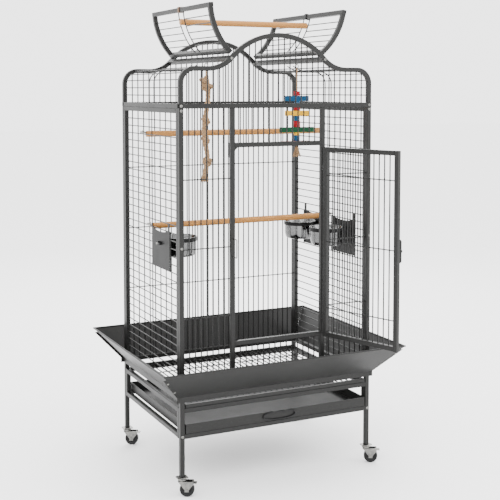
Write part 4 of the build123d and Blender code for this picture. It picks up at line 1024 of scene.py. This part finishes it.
@dataclass
class StrayHairs:
    """Short fibres that stand off a sisal cord."""

    seed: int
    density: float = 26000.0
    length: float = 0.006
    thick: float = 0.00016

    def build(self, name: str, cord: bpy.types.Object, material: bpy.types.Material) -> bpy.types.Object:
        """Scatters hairs over a cord.

        Args:
            name: the new piece's name.
            cord: the cord they grow from.
            material: their finish.

        Returns:
            The hairs.
        """
        works = ShapeTree("stray_hairs")
        density, length = works.size("Density"), works.size("Length")
        thick, seed = works.size("Thickness"), works.size("Seed", "Int")
        spots = "GeometryNodeDistributePointsOnFaces"
        scattered = works.tree.nodes.new(spots)
        works.put(scattered.inputs["Mesh"], works.start)
        works.put(scattered.inputs["Density"], density)
        works.put(scattered.inputs["Seed"], seed)
        hair = works.node("GeometryNodeMeshCone", {"fill_type": "TRIANGLE_FAN"},
                          {"Vertices": 3, "Radius Bottom": thick, "Depth": length})
        lean = works.node("FunctionNodeRandomValue", {"data_type": "FLOAT_VECTOR"},
                          {"Min": (-0.9, -0.9, 0.0), "Max": (0.9, 0.9, 6.28), "Seed": seed}, 0)
        turned = works.node("FunctionNodeRotateRotation", {},
                            {0: Value(works, scattered.outputs["Rotation"]), 1: lean})
        size = works.node("FunctionNodeRandomValue", {"data_type": "FLOAT"},
                          {"Min": 0.35, "Max": 1.0, "Seed": seed}, 1)
        grown = works.node("GeometryNodeInstanceOnPoints", {},
                           {"Points": Value(works, scattered.outputs["Points"]), "Instance": hair,
                            "Rotation": turned, "Scale": size})
        works.close(grown, material)
        return works.make(name, cord.data.copy(), {
            "Density": self.density, "Length": self.length, "Thickness": self.thick,
            "Seed": self.seed})


@dataclass
class BlockToy:
    """Dyed beads and cross blocks on a sisal string, under the right roof rail."""

    diameter: float = 0.005
    length: float = 0.292
    edge: float = 0.0022
    heights: tuple[float, ...] = (1.44903, 1.388, 1.32, 1.25, 1.20, 1.157)
    lay: float = 0.014

    def build(self, finishes: Finishes) -> None:
        """Makes the string, its blocks and its tassel."""
        sisal = finishes.of[Slot.SISAL]
        low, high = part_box("block_toy_string")
        middle = Vector(((low.x + high.x) / 2, (low.y + high.y) / 2, 0))
        points = [middle + Vector((0, 0, height)) for height in self.heights]
        line = settled_line("string_line", points)
        string = Blank()
        laid_rope(string, line, self.diameter, self.lay, sides=6)
        cord = string.piece("block_toy_cord", sisal, CORD_CREASE)
        tassel = Tassel("block_toy_tassel", points[-1] + Vector((0, 0, 0.001)), length=0.038,
                        neck=0.0065, spread=0.0185, fibres=130, seed=9).build(sisal)
        install(cord, "block_toy", Slot.SISAL, "block_toy_string")
        install(tassel, "block_toy", Slot.SISAL)
        for slot in (Slot.RED, Slot.BLUE, Slot.YELLOW, Slot.GREEN):
            node = "block_" + slot.value
            beads = eased_copy(node + "_beads", node, self.edge, finishes.of[slot])
            install(beads, "block_toy", slot, node)


# ---------------------------------------------------------------- metalwork
@dataclass
class ScrewHeads:
    """Zinc pan heads with a cross recess, on every screw of the frame."""

    swell: float = 1.12
    stand: float = 0.0021

    def shape_tree(self, material: bpy.types.Material) -> ShapeTree:
        """Builds the tree: a domed head with a cross cut into it stands on every point."""
        works = ShapeTree("screw_heads")
        width, height = works.size("Head radius"), works.size("Head height")
        recess = works.size("Recess width")
        dome = works.node("GeometryNodeMeshUVSphere", {}, {"Segments": 20, "Rings": 8, "Radius": 1.0})
        flat = works.node("ShaderNodeCombineXYZ", {}, {"X": width, "Y": width, "Z": height})
        head = works.node("GeometryNodeTransform", {}, {"Geometry": dome, "Scale": flat})
        arms = []
        for turn in (0.0, math.pi / 2):
            size = works.node("ShaderNodeCombineXYZ", {},
                              {"X": width * 1.15, "Y": recess, "Z": height})
            bar = works.node("GeometryNodeMeshCube", {}, {"Size": size})
            lift = works.node("ShaderNodeCombineXYZ", {}, {"Z": height * 1.02})
            arms.append(works.node("GeometryNodeTransform", {},
                                   {"Geometry": bar, "Translation": lift,
                                    "Rotation": (0.0, 0.0, turn)}))
        cut = head
        for arm in arms:
            cut = works.node("GeometryNodeMeshBoolean", {"operation": "DIFFERENCE"},
                             {"Mesh 1": cut, "Mesh 2": arm})
        outward = works.node("GeometryNodeInputNamedAttribute", {"data_type": "FLOAT_VECTOR"},
                             {"Name": "outward"})
        turned = works.node("FunctionNodeAlignRotationToVector", {"axis": "Z"}, {"Vector": outward})
        spin = works.node("FunctionNodeRandomValue", {"data_type": "FLOAT_VECTOR"},
                          {"Max": (0.0, 0.0, 1.57), "Seed": 3}, 0)
        mixed = works.node("FunctionNodeRotateRotation", {"rotation_space": "LOCAL"},
                           {0: turned, 1: spin})
        grown = works.node("GeometryNodeInstanceOnPoints", {},
                           {"Points": works.start, "Instance": cut, "Rotation": mixed})
        works.close(grown, material)
        return works

    def build(self, finishes: Finishes) -> None:
        """Puts a head on every screw."""
        solids = islands("screws")
        heart = np.array([0.0, (CAD_BOX[0][1] + CAD_BOX[1][1]) / 2 + 0.11, 0.8])
        for width, group in self._sizes(solids).items():
            mesh = bpy.data.meshes.new("screw_spots")
            ways, spots = [], []
            for solid in group:
                way = solid.thin_way()
                level = (solid.middle - heart) * (1, 1, 0)
                way = way if way.dot(level) > 0 else -way
                ways.append(way)
                spots.append(solid.points.mean(0) - way * 0.0006)
            mesh.from_pydata([tuple(spot) for spot in spots], [], [])
            layer = mesh.attributes.new("outward", "FLOAT_VECTOR", "POINT")
            layer.data.foreach_set("vector", np.concatenate(ways))
            name = "screw_heads_" + str(round(width * 1000))
            heads = self.shape_tree(finishes.of[Slot.ZINC]).make(name, mesh, {
                "Head radius": width * self.swell / 2, "Head height": self.stand,
                "Recess width": width * 0.16})
            install(heads, "cage", Slot.ZINC, "screws")

    @staticmethod
    def _sizes(solids: list[Island]) -> dict[float, list[Island]]:
        """Sorts screws by their width, in whole millimetres."""
        groups: dict[float, list[Island]] = {}
        for solid in solids:
            width = round(float((solid.high - solid.low).max()), 3)
            groups.setdefault(width, []).append(solid)
        return groups


@dataclass
class Casters:
    """Treads, hubs, axle nuts and eased brake levers of the four casters."""

    tread: float = 0.025
    half_width: float = 0.010
    hub: float = 0.0135
    bore: float = 0.0042

    def build(self, finishes: Finishes) -> None:
        """Dresses every caster."""
        hinges = {joint["child"]: joint for joint in HERE["joints"]}
        for corner in ("front_left", "front_right", "rear_left", "rear_right"):
            name = "caster_" + corner
            axle = hinges[name + "_wheel"]
            centre, axis = Vector(axle["pos_m"]), Vector(axle["axis"])
            r, w = self.tread, self.half_width
            tyre = [(self.hub, -w * 0.72), (r * 0.80, -w * 0.94), (r * 0.90, -w), (r * 0.97, -w * 0.86),
                    (r, -w * 0.6), (r, w * 0.6), (r * 0.97, w * 0.86), (r * 0.90, w),
                    (r * 0.80, w * 0.94), (self.hub, w * 0.72)]
            install(turned_piece(name + "_tread", [(tyre, centre, axis)], finishes.of[Slot.TYRE], 56, 50),
                    name + "_wheel", Slot.TYRE, name + "_wheel")
            disc = [(self.bore, -w * 0.9), (self.bore + 0.003, -w * 0.9), (self.bore + 0.0042, -w * 0.62),
                    (self.hub, -w * 0.55), (self.hub, w * 0.55), (self.bore + 0.0042, w * 0.62),
                    (self.bore + 0.003, w * 0.9), (self.bore, w * 0.9)]
            install(turned_piece(name + "_hub", [(disc, centre, axis)], finishes.of[Slot.BLACK_PLASTIC],
                                 40), name + "_wheel", Slot.BLACK_PLASTIC)
            self._nuts(name, centre, axis, finishes)
            self._race(name, hinges[name + "_fork"], finishes)
            lever = eased_copy(name + "_lever", name + "_brake", 0.0005, finishes.of[Slot.ZINC], 2)
            install(lever, name + "_brake", Slot.ZINC, name + "_brake")

    def _nuts(self, name: str, centre: Vector, axis: Vector, finishes: Finishes) -> None:
        """Adds the hexagon heads at both ends of an axle."""
        face = self.half_width + 0.0036
        blank = Blank()
        for way in (-1, 1):
            flat = [(0.0, face), (0.0050, face), (0.0054, face + 0.0006), (0.0054, face + 0.0026),
                    (0.0044, face + 0.0033), (0.0026, face + 0.0033), (0.0026, face + 0.0042),
                    (0.0, face + 0.0042)]
            blank.add(*lathe(flat, centre, axis * way, 6))
        nuts = blank.piece(name + "_axle_nuts", finishes.of[Slot.ZINC], 20)
        clean(nuts.data)
        install(nuts, name + "_fork", Slot.ZINC)

    @staticmethod
    def _race(name: str, swivel: dict, finishes: Finishes) -> None:
        """Adds the pressed ball race round a fork's crown."""
        top = Vector(swivel["pos_m"]) - Vector((0, 0, 0.0036))
        ring = [(0.0119, -0.0016), (0.0140, -0.0024), (0.0151, -0.0044), (0.0146, -0.0066),
                (0.0128, -0.0080), (0.0119, -0.0080)]
        install(turned_piece(name + "_race", [(ring, top, Vector((0, 0, 1)))],
                             finishes.of[Slot.ZINC], 48, 60), name + "_fork", Slot.ZINC)


@dataclass
class Bowls:
    """Three spun bowls with rolled rims."""

    rim: float = 0.064
    wall: float = 0.001
    mouth: float = 0.061
    foot: float = 0.048
    height: float = 0.068
    bend: float = 0.010

    def profile(self) -> list[tuple[float, float]]:
        """The bowl's section, from the middle of its foot round to the middle of its floor."""
        turns = [math.radians(angle) for angle in range(-90, 1, 15)]
        corner = self.foot + 0.004
        outside = [(0.0, 0.0), (self.foot * 0.6, 0.0), (self.foot - 0.004, 0.0)]
        outside += [(corner - 0.004 + self.bend * math.cos(turn), self.bend + self.bend * math.sin(turn))
                    for turn in turns[1:]]
        outside += [(self.mouth, 0.020), (self.mouth, self.height - 0.006)]
        bead = 0.0013
        roll = [(self.rim - bead + bead * math.cos(turn), self.height - bead + bead * math.sin(turn))
                for turn in (math.radians(angle) for angle in range(-150, 121, 30))]
        inside = [(self.mouth - self.wall, self.height - 0.002), (self.mouth - self.wall, 0.020)]
        inside += [(corner - 0.005 + self.bend * math.cos(turn),
                    self.bend + self.wall + self.bend * math.sin(turn)) for turn in turns[::-1][:-1]]
        return outside + roll + inside + [(self.foot * 0.6, self.wall), (0.0, self.wall)]

    def build(self, finishes: Finishes) -> None:
        """Makes the three bowls."""
        for place in ("left", "right_front", "right_rear"):
            low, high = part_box("bowl_" + place)
            centre = Vector(((low.x + high.x) / 2, (low.y + high.y) / 2, low.z))
            bowl = turned_piece("spun_bowl_" + place, [(self.profile(), centre, Vector((0, 0, 1)))],
                                finishes.of[Slot.STAINLESS], 96, 50)
            install(bowl, "bowl_" + place, Slot.STAINLESS, "bowl_" + place)


@dataclass
class Fittings:
    """Small parts whose edges are rounded over: knobs, latch, handle and bolts."""

    knob_edge: float = 0.0014
    latch_edge: float = 0.0012
    bail_steps: int = 96
    bail_sides: int = 12
    bail_oval: float = 0.78

    def build(self, finishes: Finishes) -> None:
        """Rounds the small parts and wraps the wings' catch straps."""
        plastic = finishes.of[Slot.BLACK_PLASTIC]
        for place in ("left", "right_front", "right_rear"):
            node = "hatch_" + place + "_knob"
            install(eased_copy(node + "_grip", node, self.knob_edge, plastic), node,
                    Slot.BLACK_PLASTIC, node)
        self._knob_nuts(finishes)
        install(eased_copy("door_latch_lever", "door_latch", self.latch_edge, plastic), "door_latch",
                Slot.BLACK_PLASTIC, "door_latch")
        self._latch_bolt(finishes)
        self._bail(plastic)
        install(eased_copy("perch_wing_nuts", "perch_bolts", 0.0007, finishes.of[Slot.ZINC]), "cage",
                Slot.ZINC, "perch_bolts")
        for side, material in (("left", finishes.bronze), ("right", plastic)):
            self._strap("wing_" + side, material)

    def _bail(self, material: bpy.types.Material) -> None:
        """Bends the tray's pull into a closed oval loop."""
        low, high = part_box("tray_handle")
        rod = (high.y - low.y) / 2
        middle = Vector((0.0, (low.y + high.y) / 2, (low.z + high.z) / 2))
        reach, drop = (high.x - low.x) / 2 - rod, (high.z - low.z) / 2 - rod
        loop = []
        for step in range(self.bail_steps):
            turn = 2 * math.pi * step / self.bail_steps
            across = math.copysign(abs(math.cos(turn)) ** self.bail_oval, math.cos(turn))
            down = math.copysign(abs(math.sin(turn)) ** self.bail_oval, math.sin(turn))
            loop.append(middle + Vector((reach * across, 0.0, drop * down)))
        path = np.array(loop)
        bail = Blank()
        tube(bail, path, np.full(len(path), rod), self.bail_sides, closed=True)
        install(bail.piece("tray_bail", material, self.bail_sides * 4), "tray_handle",
                Slot.BLACK_PLASTIC, "tray_handle")

    @staticmethod
    def _knob_nuts(finishes: Finishes) -> None:
        """Caps each hatch knob with the dome of its nut."""
        dome = [(0.0, 0.0), (0.0048, 0.0), (0.0048, 0.0016), (0.0042, 0.0028), (0.0028, 0.0038),
                (0.0, 0.0043)]
        for place in ("left", "right_front", "right_rear"):
            knob = "hatch_" + place + "_knob"
            turn = next(joint for joint in HERE["joints"] if joint["child"] == knob)
            low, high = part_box(knob)
            axis = Vector(turn["axis"])
            face = Vector(turn["pos_m"])
            face.x = high.x if axis.x > 0 else low.x
            nut = turned_piece(knob + "_nut", [(dome, face - axis * 0.0004, axis)],
                               finishes.of[Slot.ZINC], 28)
            install(nut, knob, Slot.ZINC)

    @staticmethod
    def _latch_bolt(finishes: Finishes) -> None:
        """Holds the latch lever on with a domed bolt."""
        turn = next(joint for joint in HERE["joints"] if joint["child"] == "door_latch")
        axis = Vector(turn["axis"])
        centre = Vector(turn["pos_m"])
        low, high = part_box("door_latch")
        reach = max(axis.dot(corner - centre) for corner in (low, high))
        dome = [(0.0, 0.0), (0.0062, 0.0), (0.0062, 0.0012), (0.0052, 0.0030), (0.0030, 0.0042),
                (0.0, 0.0047)]
        bolt = turned_piece("door_latch_bolt", [(dome, centre + axis * (reach + 0.0001), axis)],
                            finishes.of[Slot.ZINC], 28)
        install(bolt, "door", Slot.ZINC)

    @staticmethod
    def _strap(wing: str, material: bpy.types.Material) -> None:
        """Sleeves the catch in the middle of a wing's outer rail."""
        catch = min(islands(wing), key=lambda solid: abs((solid.high - solid.low)[1] - 0.012))
        middle = catch.points.mean(0)
        grown = middle + (catch.points - middle) * (1.03, 1.12, 1.03)
        blank = Blank()
        blank.add(grown, catch.faces)
        strap = blank.piece(wing + "_strap", material, 30)
        install(strap, wing, Slot.BLACK_PLASTIC)


@dataclass
class WeldSpots:
    """The small nuggets that spot welding leaves where wires cross bars."""

    radius: float = 0.0021
    depth: float = 0.0016

    def shape_tree(self, material: bpy.types.Material) -> ShapeTree:
        """Builds the tree: a flattened ball sits on every crossing."""
        works = ShapeTree("weld_spots")
        radius, depth = works.size("Radius"), works.size("Depth")
        seed = works.size("Seed", "Int")
        ball = works.node("GeometryNodeMeshIcoSphere", {}, {"Radius": 1.0, "Subdivisions": 1})
        index = works.node("GeometryNodeInputIndex")
        uneven = works.node("FunctionNodeRandomValue", {"data_type": "FLOAT"},
                            {"Min": 0.75, "Max": 1.15, "ID": index, "Seed": seed}, 1)
        squash = works.node("ShaderNodeCombineXYZ", {}, {"X": radius * uneven, "Y": radius * uneven,
                                                         "Z": depth})
        outward = works.node("GeometryNodeInputNamedAttribute", {"data_type": "FLOAT_VECTOR"},
                             {"Name": "outward"})
        turned = works.node("FunctionNodeAlignRotationToVector", {"axis": "Z"}, {"Vector": outward})
        spots = works.node("GeometryNodeInstanceOnPoints", {},
                           {"Points": works.start, "Instance": ball, "Rotation": turned,
                            "Scale": squash})
        works.close(spots, material)
        return works

    @staticmethod
    def crossings(node: str) -> list[np.ndarray]:
        """Where thin wires of a flat grille cross, from the boxes of its solids.

        Args:
            node: the grille's node.

        Returns:
            The crossing points.
        """
        upright, level = [], []
        for solid in islands(node):
            size = solid.high - solid.low
            thin = sorted(size)[1]
            if thin < 0.006:
                (upright if size[2] > 0.05 else level).append(solid)
        found = []
        for bar in upright:
            for wire in level:
                low = np.maximum(bar.low, wire.low)
                high = np.minimum(bar.high, wire.high)
                if (high - low > -0.0004).all():
                    found.append((low + high) / 2)
        return found

    def build(self, finishes: Finishes) -> None:
        """Welds the crossings of every flat grille."""
        for node, body in (("front_panel", "cage"), ("back_panel", "cage"), ("left_panel", "cage"),
                           ("right_panel", "cage"), ("door", "door")):
            spots = self.crossings(node)
            LOG.info("%s has %d crossings", node, len(spots))
            if not spots:
                continue
            mesh = bpy.data.meshes.new(node + "_crossings")
            mesh.from_pydata([tuple(spot) for spot in spots], [], [])
            low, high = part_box(node)
            thin = 0 if high.x - low.x < high.y - low.y else 1
            outward = np.zeros((len(spots), 3))
            outward[:, thin] = 1.0
            layer = mesh.attributes.new("outward", "FLOAT_VECTOR", "POINT")
            layer.data.foreach_set("vector", outward.ravel())
            welds = self.shape_tree(finishes.of[Slot.CHARCOAL]).make(node + "_welds", mesh, {
                "Radius": self.radius, "Depth": self.depth, "Seed": 7})
            install(welds, body, Slot.CHARCOAL)


# ---------------------------------------------------------------- studio
@dataclass
class Studio:
    """Pale floor, soft lights and the camera."""

    eye: tuple[float, float, float] = (-1.6257, -3.2918, 1.372)
    heading: float = -25.88
    pitch: float = -3.66
    lens: float = 73.3
    shift: float = -0.1913
    floor_reach: float = 30.0
    floor_drop: float = 0.0006
    sensor: float = 36.0
    room_light: float = 3.4

    def camera(self) -> None:
        """Sets the camera, tipped down a little and with its frame shifted down."""
        data = bpy.data.cameras.new("camera")
        data.sensor_width = self.sensor
        data.lens = self.lens
        data.shift_y = self.shift
        data.clip_end = 100.0
        made = bpy.data.objects.new("camera", data)
        made.location = self.eye
        made.rotation_euler = (math.radians(90 + self.pitch), 0, math.radians(self.heading))
        bpy.context.scene.collection.objects.link(made)
        bpy.context.scene.camera = made

    def floor(self, material: bpy.types.Material) -> None:
        """Lays the floor."""
        mesh = bpy.data.meshes.new("floor")
        reach = self.floor_reach
        mesh.from_pydata([(-reach, -reach, 0), (reach, -reach, 0), (reach, reach, 0),
                          (-reach, reach, 0)], [], [(0, 1, 2, 3)])
        mesh.materials.append(material)
        made = bpy.data.objects.new("floor", mesh)
        made.location.z = -self.floor_drop
        bpy.context.scene.collection.objects.link(made)

    def lights(self) -> None:
        """Hangs the soft boxes and lights the room."""
        aim = Vector((0.0, 0.1, 0.85))
        for name, place, width, power in (("key", (-2.6, -3.0, 3.4), 2.6, 120.0),
                                          ("fill", (3.2, -2.4, 2.4), 2.4, 80.0),
                                          ("top", (0.2, 0.4, 4.2), 2.6, 80.0),
                                          ("back", (1.4, 3.4, 2.6), 2.2, 70.0)):
            data = bpy.data.lights.new(name, "AREA")
            data.size = width
            data.energy = power
            made = bpy.data.objects.new(name, data)
            made.location = place
            made.rotation_euler = (aim - Vector(place)).to_track_quat("-Z", "Y").to_euler()
            bpy.context.scene.collection.objects.link(made)
        room = bpy.data.worlds.new("room")
        room.use_nodes = True
        back = room.node_tree.nodes["Background"]
        back.inputs["Color"].default_value = (1.0, 1.0, 1.0, 1.0)
        back.inputs["Strength"].default_value = self.room_light
        bpy.context.scene.world = room


def main() -> None:
    """Builds the looks round the frame."""
    logging.basicConfig(level=logging.INFO, format="%(name)s: %(message)s")
    studio = Studio()
    studio.camera()
    finishes = Finishes()
    finishes.dress_frame()
    for part in (RopeToy(), BlockToy(), ScrewHeads(), Casters(), Bowls(), Fittings(), WeldSpots()):
        part.build(finishes)
    studio.floor(finishes.floor)
    studio.lights()


if __name__ == "__main__":
    main()
